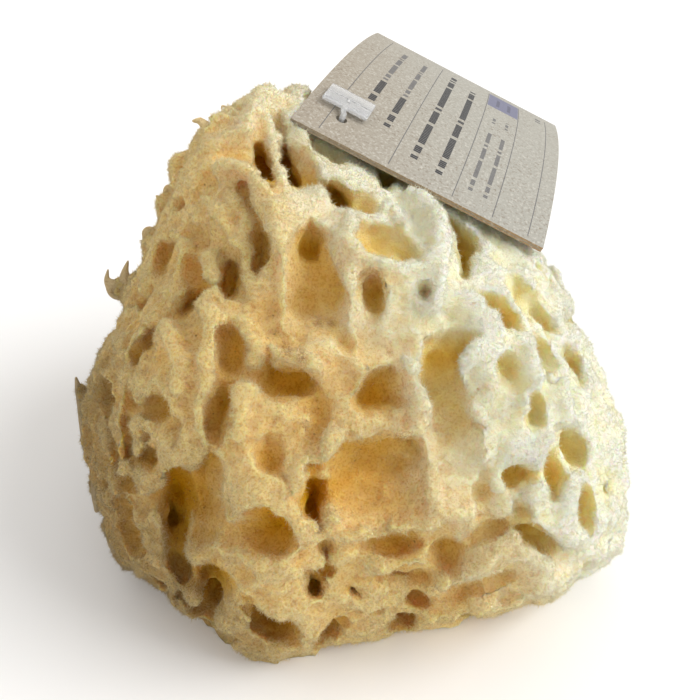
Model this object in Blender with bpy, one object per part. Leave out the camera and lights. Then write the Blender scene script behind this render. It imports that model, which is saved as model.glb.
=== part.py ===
"""Natural honeycomb sea sponge with its card tag, in metres, +Z up, resting on z = 0."""

import math

import bmesh
import bpy
import numpy as np
from mathutils import Matrix, Vector, noise
from mathutils.bvhtree import BVHTree

MM = 0.001

# The sponge is described on a sheet that stands upright to the eye of a viewer who looks down on
# it. Places on the sheet are in millimetres: across to the right, up along the sheet.
VIEW_TILT = math.radians(33)
EYE_DISTANCE = 193 * MM
SHEET_MIDDLE = Vector((-1, -9.6, 45)) * MM
RIGHT = Vector((1, 0, 0))
UP = Vector((0, math.sin(VIEW_TILT), math.cos(VIEW_TILT)))
TO_EYE = Vector((0, -math.cos(VIEW_TILT), math.sin(VIEW_TILT)))
EYE = SHEET_MIDDLE + EYE_DISTANCE * TO_EYE

# Outline of the sponge on the sheet (across, up), clockwise from the top left.
OUTLINE = [
    (-12, 64.5), (5, 61), (20, 55), (32, 45), (42, 34), (49, 25), (53, 16), (57, 7), (60, 0),
    (64, -10), (67, -23), (68.5, -32), (68.5, -44), (66, -51), (59, -55), (53, -60), (46, -62.5),
    (32, -67.5), (18, -69), (9, -70.5), (0, -73), (-9, -75), (-15, -78), (-22, -76.5),
    (-31, -72), (-41, -67), (-45, -62), (-50, -58.5), (-55.5, -53), (-60, -45), (-62, -38),
    (-63.5, -30), (-65.5, -22), (-67.5, -12), (-67, -5), (-65, 2), (-62, 9), (-57.5, 17), (-54, 26),
    (-49.5, 35), (-45.5, 43), (-41.5, 49), (-36, 56), (-28, 60.5), (-22, 64),
]
OUTLINE_MIDDLE = (0, -6.5)
OUTLINE_SOFTNESS = 3
FRONT_DEPTH = 55 * MM
BACK_DEPTH = 74 * MM
BODY_SQUARENESS = 2.1
LUMP_SIZE = 26 * MM
LUMP_HEIGHT = 2.6 * MM
FINE_LUMPS = 2.3

# Broad swellings and hollows of the side that faces the viewer:
# (across, up, reach, height), millimetres.
SWELLINGS = [
    (-26, -52, 15, 3), (-52, -30, 11, 3), (36, -3, 13, 4), (-30, 2, 14, 3), (12, -14, 11, 3),
    (-20, -34, 11, 3), (50, -42, 15, 3), (-16, 34, 12, 3),
    (-39, -40, 8, -9), (25, -20, 12, -6), (-10, 12, 9, -4), (8, -33, 10, -4), (-46, 12, 9, -3),
]

# Growth cells: hollows between ridges, in all the surface. The seen side has its own pores and
# only a low relief of this kind. RIDGE_SHARE is how much of a cell its rising wall takes.
CELL_SIZE = 15 * MM
CELL_DEPTH = 5.5 * MM
SEEN_CELL_SIZE = 9 * MM
SEEN_CELL_DEPTH = 3.2 * MM
RIDGE_SHARE = 0.55
SEEN_BLEND = 3

# Raised struts and lips: (across, up, length, width, turn, height), millimetres and degrees.
STRUTS = [
    (-31.5, 32, 17, 4.5, 125, 4.5), (20, -12, 15, 5, 100, 4), (-11, -1, 12, 5, 20, 3.5),
    (3, -28, 16, 6, 10, 4), (-31, -43, 20, 5, 60, 4), (34, -12, 20, 5, 20, 3.5),
    (6, -54, 19, 4.5, 10, 3), (41, -52, 24, 4.5, 160, 3.5), (-6, 8, 4, 22, 0, 2.5),
]

# Thin flakes and lobes that stand out of the left flank, at the silhouette:
# (across, up, length, width, turn, thickness), millimetres and degrees.
FLAKES = [
    (-57, 16, 13, 7, 50, 5), (-63, -3, 11, 9, 90, 7), (-63.5, -16, 21, 7, 104, 5),
    (-60, -35, 12, 9, 95, 6), (-56, -49, 15, 10, 120, 8), (-45, 35, 10, 7, 100, 6),
    (-49, 27, 11, 8, 60, 7), (-33, 57, 10, 7, 30, 7), (-14, 62, 10, 10, 80, 9),
    (-24, 60, 12, 9, 20, 9),
]
FLAKE_NEARNESS = 7 * MM

# Pores of the side that faces the viewer: (across, up, wide, tall, turn, deep), in millimetres
# on the sheet and degrees anticlockwise.
PORES_TOP_LEFT = [
    (-21.5, 48, 5.5, 11.5, 13, 24), (-14.8, 47.8, 4.8, 14.5, 13, 26), (-20, 57, 7.5, 5, 0, 5),
    (-29, 51, 9.5, 7.5, 20, 6), (-22.8, 25.8, 5.2, 14.5, 8, 24), (-25, 37.5, 5, 14, 14, 8),
    (-30.3, 18.5, 4.4, 10.5, 0, 16), (-40, 11.5, 10, 5.5, 35, 16), (-38.5, 18.3, 6, 9, 25, 6),
    (-48.5, 23.3, 7, 8, -30, 7), (-39, 36, 6, 8, 20, 4),
]
PORES_TOP_MIDDLE = [
    (-3, 39.5, 8, 9.5, 30, 24), (-9, 26.8, 6.8, 11.5, 0, 24), (-8, 15.5, 11, 18.5, 3, 8),
    (9.8, 27.3, 14.5, 10.5, -5, 8), (5.3, 13.8, 5.2, 10.5, 0, 9), (4.5, 37.5, 6, 6, 0, 5),
    (10.3, 44, 7, 6, 0, 15), (27.3, 27.5, 7, 18, 8, 15), (15.5, 13, 4.5, 10, -8, 4),
    (0, 47, 6, 6, 0, 5),
]
PORES_RIGHT = [
    (42.5, 15.8, 6.2, 9, 25, 11), (36.5, 12.8, 8, 5, -12, 9), (41.5, 6.8, 9, 6, -30, 9),
    (48.3, 1, 5.2, 8, 15, 9), (48.5, 9, 4.5, 10, 35, 6), (56.8, -4, 5.2, 9.5, 12, 10),
    (46.8, -15, 5.2, 9.8, 3, 13), (40.5, -5.8, 5.5, 8, 15, 5), (57, -21.5, 8, 12, 28, 10),
    (36.3, -21, 10.5, 9, 0, 7), (43.8, -31.3, 9, 5.2, 0, 9), (52, -31, 5.6, 13, 0, 11),
    (60, -41.5, 5.6, 10, 0, 10), (62, -27, 4, 7, 20, 7),
]
PORES_CENTRE = [
    (25.5, 7, 9, 15, -15, 5), (22.8, -8.8, 9, 14, -10, 8), (26.5, -24, 12, 22, 5, 7),
    (7.5, -10, 13, 12, 0, 10), (-15.5, -8.8, 11.5, 10, 0, 12), (-33, -13, 5.2, 8, 0, 13),
    (-19.8, -27, 6, 7, 0, 5), (-8.8, -37.5, 7, 17.5, 6, 24), (12, -32, 12, 13, 0, 6),
    (1, -36, 10, 12, 0, 6), (13.3, -24.5, 5, 3, 0, 12),
]
PORES_LEFT = [
    (-52.5, 1, 7.5, 11.5, -15, 12), (-49, -20, 7.5, 17, 3, 8), (-43.5, -41, 4.5, 12, -4, 17),
    (-36.5, -36, 9, 16, 12, 8), (-41.8, -50, 4, 6, 0, 12), (-55, -34, 4.5, 7, 10, 6),
    (-57, -18, 4, 7, 0, 5), (-44, 2.5, 6, 5, 0, 4),
]
PORES_BOTTOM = [
    (-25.3, -47.8, 16, 9.5, 15, 12), (-22.6, -46.5, 3.4, 5, -20, 20),
    (-34.3, -61.3, 8, 11, 0, 10), (-22.8, -65.5, 9, 5.5, -40, 18), (-15.5, -70.8, 5, 5.6, 0, 9),
    (-7.8, -58.3, 7.8, 9, 0, 20), (1.3, -60.5, 6, 5, -30, 10), (11.3, -49, 16, 6.5, 8, 13),
    (14.5, -57.5, 10, 5.4, 0, 10), (17.3, -62.6, 6, 4, 0, 9), (24.5, -52, 8, 8.4, 0, 13),
    (26.8, -61, 10, 5.2, 18, 12), (34, -45.5, 12.5, 6.6, 15, 12), (49.5, -49.5, 14, 6.6, -32, 14),
    (38.8, -56.3, 13, 5.4, 18, 14),
]
PORES_SEEN = (
    PORES_TOP_LEFT + PORES_TOP_MIDDLE + PORES_RIGHT + PORES_CENTRE + PORES_LEFT + PORES_BOTTOM
)

# Softened rims close a pore a little, so every pore is carved wider by PORE_OPENING. A seen pore
# leans from the surface's own direction towards the line of sight, by SIGHT_SHARE.
PORE_OPENING = 1.15
SIGHT_SHARE = 0.55

# Pores of the other sides follow the same growth. They are dealt evenly in all directions, and left
# out where the surface faces the viewer by more than SEEN_FACING, 1 being squarely, and is higher
# than LOW_BAND. None opens lower than LOWEST_PORE, beside the rim of the flat cut.
PORES_AROUND = 210
SEEN_FACING = 0.22
LOW_BAND = 20 * MM
LOWEST_PORE = 7 * MM
PORE_SCATTER = 0.09
PORE_WIDTH = (6 * MM, 11 * MM)
PORE_STRETCH = (1.0, 1.5)
PORE_DEPTH = (6 * MM, 20 * MM)
PORE_LEAN = 40
PORES_UNDERNEATH = 22
BASE_PORE_DEPTH = 7 * MM
BASE_PORE_FOOT = 50 * MM
BASE_PORE_WIDTH = (9 * MM, 17 * MM)
BASE_REACH = 50 * MM
GROWTH_SEED = 7

# Fineness of the sponge's solid.
CARVING_VOXEL = 1.6 * MM
CUTTER_VOXEL = 1.2 * MM
SPONGE_TRIANGLES = 9400

# Card tag: a board of two glued leaves, arched along its length.
CARD_SHORT = 60 * MM
CARD_LONG = 85 * MM
CARD_THICK = 1.2 * MM
CARD_ARCH = math.radians(20.4)
CARD_STEPS = 20
CARD_CORNER = Vector((-12.8, 1.0, 56.6)) * MM + SHEET_MIDDLE
CARD_ACROSS = Vector((0.8916, -0.2174, -0.3973)).normalized()
CARD_ALONG_HINT = Vector((0.2435, 0.9698, 0.0159))
CARD_HOLE = (8.9 * MM, 8.7 * MM)
CARD_HOLE_WIDTH = 3.2 * MM

# The sponge is pressed down under the card, to REST_GAP below it. The pressing sets in from
# PRESS_BESIDE beside the card's left edge and is full after PRESS_FADE.
REST_GAP = 2.0 * MM
PRESS_BESIDE = 7 * MM
PRESS_FADE = 6 * MM

# Clear nylon fastener.
PADDLE_LENGTH = 11 * MM
PADDLE_WIDTH = 7.6 * MM
PADDLE_THICK = 0.9 * MM
PADDLE_LIFT = 0.9 * MM
PADDLE_PLACE = (8.3 * MM, 14.6 * MM)
STEM_WIDTH = 1.3 * MM
STEM_LENGTH = 15 * MM
CROSS_BAR_LENGTH = 9 * MM
CROSS_BAR_WIDTH = 1.6 * MM
FASTENER_CLEARANCE = 0.6 * MM

CARD_NORMAL = CARD_ACROSS.cross(CARD_ALONG_HINT).normalized()
CARD_ALONG = CARD_NORMAL.cross(CARD_ACROSS).normalized()


def clear_scene():
    for obj in list(bpy.data.objects):
        bpy.data.objects.remove(obj)


def new_object(name, mesh):
    obj = bpy.data.objects.new(name, mesh)
    bpy.context.scene.collection.objects.link(obj)
    return obj


def mesh_from_bmesh(name, bm):
    mesh = bpy.data.meshes.new(name)
    bm.to_mesh(mesh)
    bm.free()
    return mesh


def evaluated_mesh(obj):
    """The object's mesh with its modifiers, as a mesh of its own."""
    graph = bpy.context.evaluated_depsgraph_get()
    graph.update()
    return bpy.data.meshes.new_from_object(obj.evaluated_get(graph))


def material(name, colour, roughness, alpha=1.0):
    mat = bpy.data.materials.new(name)
    mat.use_nodes = True
    shader = mat.node_tree.nodes["Principled BSDF"]
    shader.inputs["Base Color"].default_value = (*colour, 1.0)
    shader.inputs["Roughness"].default_value = roughness
    shader.inputs["Metallic"].default_value = 0.0
    shader.inputs["Alpha"].default_value = alpha
    return mat


def as_cutter(obj):
    obj.hide_render = True
    obj.display_type = "WIRE"
    return obj


def add_boolean(obj, other, operation):
    mod = obj.modifiers.new(operation.title(), "BOOLEAN")
    mod.operation = operation
    mod.solver = "EXACT"
    mod.object = other
    return mod


def add_remesh(obj, voxel):
    mod = obj.modifiers.new("Remesh", "REMESH")
    mod.mode = "VOXEL"
    mod.voxel_size = voxel
    return mod


def sheet_point(across, up):
    """Millimetres on the sheet to a place in space."""
    return SHEET_MIDDLE + (across * RIGHT + up * UP) * MM


def outline_radii():
    """Distance of the outline from its middle for every whole degree, gently smoothed."""
    mid_across, mid_up = OUTLINE_MIDDLE
    points = []
    for across, up in OUTLINE:
        side, rise = across - mid_across, up - mid_up
        points.append((math.degrees(math.atan2(rise, side)), math.hypot(side, rise) * MM))
    angles, radii = zip(*points)
    degrees = np.arange(-180, 180)
    steps = np.interp(degrees, *zip(*sorted(zip(angles, radii))), period=360)
    reach = np.arange(-3 * OUTLINE_SOFTNESS, 3 * OUTLINE_SOFTNESS + 1)
    weights = np.exp(-((reach / OUTLINE_SOFTNESS) ** 2))
    rows = [np.roll(steps, shift) * weight for shift, weight in zip(reach, weights)]
    return np.sum(rows, axis=0) / weights.sum()


def sheet_place_of(point):
    """Where on the sheet, in millimetres, the viewer sees a point."""
    ray = point - EYE
    scale = EYE_DISTANCE / -ray.dot(TO_EYE)
    seen = EYE + ray * scale - SHEET_MIDDLE
    return seen.dot(RIGHT) / MM, seen.dot(UP) / MM


def keep_below_card(point):
    """Presses a point down to rest under the card, where the card covers it."""
    offset = point - CARD_CORNER
    height = offset.dot(CARD_NORMAL)
    inside = (offset.dot(CARD_ACROSS) + PRESS_BESIDE) / PRESS_FADE
    cover = min(max(inside, 0.0), 1.0)
    above = max(height + REST_GAP, 0.0)
    return point - CARD_NORMAL * above * cover


def body_mesh():
    """The sponge's whole lump, before any pore: an uneven dome in the viewer's frame."""
    radii = outline_radii()
    narrow = math.sqrt(1 - (FRONT_DEPTH / EYE_DISTANCE) ** 2)
    middle = sheet_point(*OUTLINE_MIDDLE)
    bm = bmesh.new()
    bmesh.ops.create_icosphere(bm, subdivisions=6, radius=1.0)
    power = 2 / BODY_SQUARENESS
    for vert in bm.verts:
        side, rise, near = vert.co
        flat = math.hypot(side, rise)
        angle = math.degrees(math.atan2(rise, side)) if flat > 0 else 0.0
        radius = np.interp(angle, np.arange(-180, 180), radii, period=360) * narrow
        spread = flat ** power
        depth = math.copysign(abs(near) ** power, near)
        depth *= FRONT_DEPTH if near > 0 else BACK_DEPTH
        turn = math.radians(angle)
        across = RIGHT * math.cos(turn) + UP * math.sin(turn)
        place = middle + across * spread * radius + TO_EYE * depth
        outward = (place - middle).normalized()
        facing = min(max(near * SEEN_BLEND, 0.0), 1.0)
        rise = lump_at(place) + swelling_at(place) * facing
        rise -= hollow(place, SEEN_CELL_SIZE) * SEEN_CELL_DEPTH * facing
        rise -= hollow(place, CELL_SIZE) * CELL_DEPTH * (1 - facing)
        place += outward * rise
        vert.co = keep_below_card(place)
    return mesh_from_bmesh("sponge_body", bm)


def lump_at(place):
    """Uneven growth: broad lumps with smaller ones on them."""
    grain = (place - SHEET_MIDDLE) / LUMP_SIZE
    return (noise.noise(grain) + noise.noise(grain * FINE_LUMPS) * 0.5) * LUMP_HEIGHT


def swelling_at(place):
    """The swellings and hollows that the viewer sees at this place."""
    seen_across, seen_up = sheet_place_of(place)
    height = 0.0
    for across, up, reach, rise in SWELLINGS:
        distance = math.hypot(seen_across - across, seen_up - up) / reach
        height += rise * math.exp(-distance * distance) * MM
    return height


def hollow(place, cell):
    """0 on the ridge between two growth cells, 1 in the middle of a cell."""
    nearest, second = noise.voronoi((place - SHEET_MIDDLE) / cell)[0][:2]
    share = min((second - nearest) / RIDGE_SHARE, 1.0)
    return share * share * (3 - 2 * share)


def frame_on(normal, turn):
    """Axes of a shape that lies on the surface: across turned by the angle, and out along normal."""
    out = normal.normalized()
    side = (RIGHT - out * RIGHT.dot(out)).normalized()
    rise = out.cross(side)
    angle = math.radians(turn)
    first = side * math.cos(angle) + rise * math.sin(angle)
    second = out.cross(first)
    return Matrix((first, second, out)).transposed().to_4x4()


def add_ellipsoid(bm, place, axes, sizes, subdivisions=3):
    """An ellipsoid with the given full sizes along the three axes."""
    scale = Matrix.Diagonal((*[size / 2 for size in sizes], 1.0))
    matrix = Matrix.Translation(place) @ axes @ scale
    bmesh.ops.create_icosphere(bm, subdivisions=subdivisions, radius=1.0, matrix=matrix)


def surface_seen(tree, across, up):
    """Place and normal where the line of sight through the sheet meets the sponge, that line, and
    how much larger a thing there is than it looks on the sheet."""
    ray = (sheet_point(across, up) - EYE).normalized()
    place, normal, _, distance = tree.ray_cast(EYE, ray)
    return place, normal, ray, distance / (sheet_point(across, up) - EYE).length


def add_struts(bm, tree):
    """Raised struts and lips, lying on the surface where the viewer sees them."""
    for across, up, length, width, turn, height in STRUTS:
        place, normal, ray, scale = surface_seen(tree, across, up)
        facing = (normal - ray).normalized()
        sizes = [length * scale * MM, width * scale * MM, height * 2 * MM]
        add_ellipsoid(bm, place, frame_on(facing, turn), sizes)


def add_flakes(bm):
    """Flakes of the outline, a little nearer than the sheet."""
    nearer = (EYE_DISTANCE - FLAKE_NEARNESS) / EYE_DISTANCE
    for across, up, length, width, turn, thick in FLAKES:
        place = EYE + (sheet_point(across, up) - EYE) * nearer
        sizes = [length * MM, width * MM, thick * MM]
        add_ellipsoid(bm, place, frame_on(TO_EYE, turn), sizes)


def add_seen_pores(bm, tree):
    """The pores that the viewer sees, each leaning between the line of sight and the surface."""
    for across, up, wide, tall, turn, deep in PORES_SEEN:
        place, normal, ray, scale = surface_seen(tree, across, up)
        inward = (ray * SIGHT_SHARE - normal * (1 - SIGHT_SHARE)).normalized()
        opening = scale * PORE_OPENING * MM
        sizes = [wide * opening, tall * opening, deep * 2 * MM]
        add_ellipsoid(bm, place, frame_on(-inward, turn), sizes)


def add_hidden_pores(bm, tree, rng):
    """Pores spread evenly round the sides that the viewer doesn't see."""
    middle = sheet_point(*OUTLINE_MIDDLE)
    golden = math.pi * (3 - math.sqrt(5))
    for index in range(PORES_AROUND):
        height = 1 - 2 * (index + 0.5) / PORES_AROUND
        flat = math.sqrt(1 - height * height)
        turn = golden * index
        aim = Vector((flat * math.cos(turn), flat * math.sin(turn), height))
        aim += Vector(rng.uniform(-PORE_SCATTER, PORE_SCATTER, 3))
        width = rng.uniform(*PORE_WIDTH)
        stretch = rng.uniform(*PORE_STRETCH)
        depth = rng.uniform(*PORE_DEPTH)
        lean = rng.uniform(-PORE_LEAN, PORE_LEAN)
        place, normal, _, _ = tree.ray_cast(middle, aim.normalized())
        if place is None or place.z < LOWEST_PORE:
            continue
        towards = (EYE - place).normalized()
        under_card = abs((place - CARD_CORNER).dot(CARD_NORMAL) + REST_GAP) < REST_GAP
        if normal.dot(towards) > SEEN_FACING and place.z > LOW_BAND and not under_card:
            continue
        sizes = [width * PORE_OPENING, width * stretch * PORE_OPENING, depth * 2]
        add_ellipsoid(bm, place, frame_on(normal, lean), sizes)


def add_base_pores(bm, rng):
    """Small pores that open in the flat cut underneath."""
    for index in range(PORES_UNDERNEATH):
        turn = index * math.tau * 0.382 + rng.uniform(-0.3, 0.3)
        reach = BASE_REACH * math.sqrt((index + 1.5) / PORES_UNDERNEATH)
        place = Vector((math.cos(turn), math.sin(turn), 0)) * reach
        place.z = -BASE_PORE_FOOT
        width = rng.uniform(*BASE_PORE_WIDTH)
        stretch = rng.uniform(*PORE_STRETCH)
        sizes = [width, width * stretch, 2 * (BASE_PORE_FOOT + BASE_PORE_DEPTH)]
        spin = Matrix.Rotation(rng.uniform(0, math.pi), 4, "Z")
        add_ellipsoid(bm, place, spin, sizes)


def keep_largest_piece(bm):
    """Removes crumbs that the carving cut free."""
    pieces = []
    left = set(bm.verts)
    while left:
        start = left.pop()
        piece = [start]
        queue = [start]
        while queue:
            vert = queue.pop()
            for edge in vert.link_edges:
                other = edge.other_vert(vert)
                if other in left:
                    left.remove(other)
                    piece.append(other)
                    queue.append(other)
        pieces.append(piece)
    pieces.sort(key=len)
    crumbs = [vert for piece in pieces[:-1] for vert in piece]
    bmesh.ops.delete(bm, geom=crumbs, context="VERTS")
    return len(pieces) - 1


def card_point(short, long, height):
    """A place on the arched card: distances along its two sides and above its lower face."""
    radius = CARD_LONG / CARD_ARCH
    turn = long / radius - CARD_ARCH / 2
    start = -CARD_ARCH / 2
    along = (radius + height) * math.sin(turn) - radius * math.sin(start)
    rise = (radius + height) * math.cos(turn) - radius * math.cos(start)
    return CARD_CORNER + CARD_ACROSS * short + CARD_ALONG * along + CARD_NORMAL * rise


def card_axes(long):
    """Axes of the card's face at a distance along its long side."""
    turn = long / CARD_LONG * CARD_ARCH - CARD_ARCH / 2
    out = CARD_ALONG * math.sin(turn) + CARD_NORMAL * math.cos(turn)
    ahead = out.cross(CARD_ACROSS)
    return Matrix((CARD_ACROSS, ahead, out)).transposed().to_4x4()


def cylinder(name, place, axes, width, length, sides=12):
    bm = bmesh.new()
    matrix = Matrix.Translation(place) @ axes
    bmesh.ops.create_cone(
        bm, cap_ends=True, segments=sides, radius1=width / 2, radius2=width / 2,
        depth=length, matrix=matrix,
    )
    return new_object(name, mesh_from_bmesh(name, bm))


def box(name, place, axes, sizes):
    bm = bmesh.new()
    matrix = Matrix.Translation(place) @ axes @ Matrix.Diagonal((*sizes, 1.0))
    bmesh.ops.create_cube(bm, size=1.0, matrix=matrix)
    return new_object(name, mesh_from_bmesh(name, bm))


def stem_places():
    """The stem's middle line: out of the paddle, over, and down through the card into the sponge."""
    short, long = CARD_HOLE
    paddle_short, paddle_long = PADDLE_PLACE
    level = CARD_THICK + PADDLE_LIFT + PADDLE_THICK / 2
    out_of_paddle = paddle_long - PADDLE_WIDTH / 2 + 0.8 * MM
    return [
        card_point(paddle_short, out_of_paddle, level),
        card_point(paddle_short, long + 1.4 * MM, level),
        card_point(short, long + 0.4 * MM, level - 0.3 * MM),
        card_point(short, long, level - 1.1 * MM),
        card_point(short, long, -STEM_LENGTH),
    ]


def cross_bar_place():
    short, long = CARD_HOLE
    return card_point(short, long, -STEM_LENGTH)


def fastener_pocket():
    """The narrow channel of the stem and the pocket of the cross bar, as one cutter."""
    short, long = CARD_HOLE
    axes = card_axes(long)
    gap = 2 * FASTENER_CLEARANCE
    middle = card_point(short, long, -STEM_LENGTH / 2 + 3 * MM)
    channel = cylinder(
        "stem_channel", middle, axes, STEM_WIDTH + gap, STEM_LENGTH + 8 * MM, sides=10)
    sizes = (CROSS_BAR_LENGTH + gap, CROSS_BAR_WIDTH + gap, CROSS_BAR_WIDTH + gap)
    pocket = box("bar_pocket", cross_bar_place(), axes, sizes)
    add_boolean(channel, pocket, "UNION")
    cutter = new_object("fastener_pocket", evaluated_mesh(channel))
    bpy.data.objects.remove(channel)
    bpy.data.objects.remove(pocket)
    return as_cutter(cutter)


def make_sponge():
    rng = np.random.default_rng(GROWTH_SEED)
    body = body_mesh()
    bm = bmesh.new()
    bm.from_mesh(body)
    tree = BVHTree.FromBMesh(bm)
    add_struts(bm, tree)
    add_flakes(bm)
    sponge = new_object("sponge", mesh_from_bmesh("sponge", bm))
    add_remesh(sponge, CARVING_VOXEL)

    cutters = bmesh.new()
    add_seen_pores(cutters, tree)
    add_hidden_pores(cutters, tree, rng)
    add_base_pores(cutters, rng)
    pores = as_cutter(new_object("pores", mesh_from_bmesh("pores", cutters)))
    add_remesh(pores, CUTTER_VOXEL)
    add_boolean(sponge, pores, "DIFFERENCE")
    add_remesh(sponge, CARVING_VOXEL)
    softened = sponge.modifiers.new("Smooth", "SMOOTH")
    softened.factor = 0.5
    softened.iterations = 3

    carved = bmesh.new()
    carved.from_mesh(evaluated_mesh(sponge))
    crumbs = keep_largest_piece(carved)
    faces = sum(len(face.verts) - 2 for face in carved.faces)
    print("sponge carved:", faces, "triangles,", crumbs, "crumbs removed")
    sponge.modifiers.clear()
    sponge.data = mesh_from_bmesh("sponge", carved)

    thinned = sponge.modifiers.new("Decimate", "DECIMATE")
    thinned.ratio = SPONGE_TRIANGLES / faces
    ground = box("ground", Vector((0, 0, -0.05)), Matrix.Identity(4), (0.4, 0.4, 0.1))
    add_boolean(sponge, as_cutter(ground), "DIFFERENCE")
    add_boolean(sponge, fastener_pocket(), "DIFFERENCE")
    sponge.data.materials.append(material("sponge", (0.52, 0.35, 0.14), 0.95))
    return sponge


def make_card():
    """The card: one sheet of faces bent to the arch and given its thickness."""
    bm = bmesh.new()
    bmesh.ops.create_grid(bm, x_segments=1, y_segments=CARD_STEPS, size=0.5)
    for vert in bm.verts:
        short = (vert.co.x + 0.5) * CARD_SHORT
        long = (vert.co.y + 0.5) * CARD_LONG
        vert.co = card_point(short, long, 0)
    bmesh.ops.recalc_face_normals(bm, faces=bm.faces)
    card = new_object("card_tag", mesh_from_bmesh("card_tag", bm))
    if card.data.polygons[0].normal.dot(CARD_NORMAL) < 0:
        card.data.flip_normals()
    solid = card.modifiers.new("Solidify", "SOLIDIFY")
    solid.thickness = CARD_THICK
    solid.offset = 1.0
    short, long = CARD_HOLE
    hole = cylinder(
        "card_hole", card_point(short, long, 0), card_axes(long), CARD_HOLE_WIDTH, 8 * MM, sides=16)
    add_boolean(card, as_cutter(hole), "DIFFERENCE")
    card.data.materials.append(material("card_board", (0.46, 0.42, 0.36), 0.85))
    return card


def make_fastener():
    """Paddle, stem and cross bar, moulded as one piece of clear nylon."""
    short, long = PADDLE_PLACE
    level = CARD_THICK + PADDLE_LIFT + PADDLE_THICK / 2
    axes = card_axes(long)
    paddle = box(
        "tag_fastener", card_point(short, long, level), axes,
        (PADDLE_LENGTH, PADDLE_WIDTH, PADDLE_THICK))
    rounded = paddle.modifiers.new("Bevel", "BEVEL")
    rounded.width = 0.35 * MM
    rounded.segments = 2

    line = bpy.data.curves.new("stem", "CURVE")
    line.dimensions = "3D"
    line.bevel_depth = STEM_WIDTH / 2
    line.bevel_resolution = 2
    line.use_fill_caps = True
    spline = line.splines.new("POLY")
    places = stem_places()
    spline.points.add(len(places) - 1)
    for point, place in zip(spline.points, places):
        point.co = (*place, 1.0)
    guide = new_object("stem_line", line)
    stem = as_cutter(new_object("stem", evaluated_mesh(guide)))
    bpy.data.objects.remove(guide)

    bar_axes = card_axes(CARD_HOLE[1]) @ Matrix.Rotation(math.radians(90), 4, "Y")
    bar = cylinder(
        "cross_bar", cross_bar_place(), bar_axes, CROSS_BAR_WIDTH, CROSS_BAR_LENGTH, sides=10)
    add_boolean(paddle, stem, "UNION")
    add_boolean(paddle, as_cutter(bar), "UNION")
    paddle.data.materials.append(material("clear_nylon", (0.8, 0.8, 0.8), 0.25, alpha=0.5))
    return paddle


clear_scene()
sponge = make_sponge()
card = make_card()
fastener = make_fastener()
for obj in (sponge, card, fastener):
    mesh = evaluated_mesh(obj)
    corners = np.array([obj.matrix_world @ vert.co for vert in mesh.vertices])
    low, high = corners.min(axis=0), corners.max(axis=0)
    triangles = sum(len(face.vertices) - 2 for face in mesh.polygons)
    print(obj.name, "from", np.round(low, 4), "to", np.round(high, 4), triangles, "triangles")
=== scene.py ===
# %% [markdown]
# # A sea sponge with its card tag
#
# The object is a natural honeycomb sponge: the soft skeleton of an animal that grew on the sea
# floor, cut off flat underneath and dried. A card tag is pinned to its top with a clear nylon pin.
# This lesson builds its looks around a imported model that already has the right sizes, so the first
# step loads that model.

import math

import bmesh
import bpy
import numpy as np
from mathutils import Matrix, Vector, noise
from mathutils.bvhtree import BVHTree


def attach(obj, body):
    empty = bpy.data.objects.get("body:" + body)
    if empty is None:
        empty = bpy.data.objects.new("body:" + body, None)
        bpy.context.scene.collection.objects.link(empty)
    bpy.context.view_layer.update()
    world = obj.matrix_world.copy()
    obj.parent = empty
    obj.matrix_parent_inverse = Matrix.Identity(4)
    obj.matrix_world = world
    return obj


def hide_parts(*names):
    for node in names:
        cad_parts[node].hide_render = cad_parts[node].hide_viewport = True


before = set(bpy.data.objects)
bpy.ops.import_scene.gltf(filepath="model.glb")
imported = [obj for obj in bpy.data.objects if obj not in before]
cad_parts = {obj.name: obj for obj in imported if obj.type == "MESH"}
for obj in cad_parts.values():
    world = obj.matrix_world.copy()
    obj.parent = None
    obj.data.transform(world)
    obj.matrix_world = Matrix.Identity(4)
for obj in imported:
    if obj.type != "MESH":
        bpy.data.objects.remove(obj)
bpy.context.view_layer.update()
MM = 0.001
print("packed nodes:", sorted(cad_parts))

# %% [markdown]
# ## The viewer and the sheet
#
# A sponge has no straight edges to measure from. What can be measured is how it looks from one
# place, so its forms are described on an imaginary sheet that stands upright to the eye of a viewer
# who looks down on it. The sheet passes through the sponge's middle. Places on it are counted in
# quarter millimetres, to the right and down from its top left corner, and its middle is at
# (350, 350). A line of sight through such a place then finds the surface behind it.

# %% Set the viewer and the sheet
VIEW_TILT = math.radians(33)
EYE_DISTANCE = 193 * MM
SHEET_MIDDLE = Vector((-1, -9.6, 45)) * MM
RIGHT = Vector((1, 0, 0))
UP = Vector((0, math.sin(VIEW_TILT), math.cos(VIEW_TILT)))
TO_EYE = Vector((0, -math.cos(VIEW_TILT), math.sin(VIEW_TILT)))
EYE = SHEET_MIDDLE + EYE_DISTANCE * TO_EYE
STEP = 0.25 * MM
MIDDLE_STEP = 350


def sheet_point(right, down):
    """A place on the sheet as a place in space."""
    across = (right - MIDDLE_STEP) * STEP
    rise = (MIDDLE_STEP - down) * STEP
    return SHEET_MIDDLE + RIGHT * across + UP * rise


def seen_on_sheet(points):
    """Where on the sheet the viewer sees points in space, as two arrays."""
    rays = points - np.array(EYE)
    scale = EYE_DISTANCE / -(rays @ np.array(TO_EYE))
    seen = np.array(EYE) + rays * scale[:, None] - np.array(SHEET_MIDDLE)
    right = seen @ np.array(RIGHT) / STEP + MIDDLE_STEP
    down = MIDDLE_STEP - seen @ np.array(UP) / STEP
    return right, down


print("the eye is at", tuple(round(value, 4) for value in EYE))

# %% [markdown]
# ## The card's place
#
# The card lies on top of the sponge and presses it down a little, so its place is needed before the
# sponge is shaped. The card is a board of 60 by 85 mm, arched along its length like a sheet that has
# been rolled. `card_point` turns a distance along each of its sides, and a height over its lower
# face, into a place in space. It bends the flat card round a wide cylinder.

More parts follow.
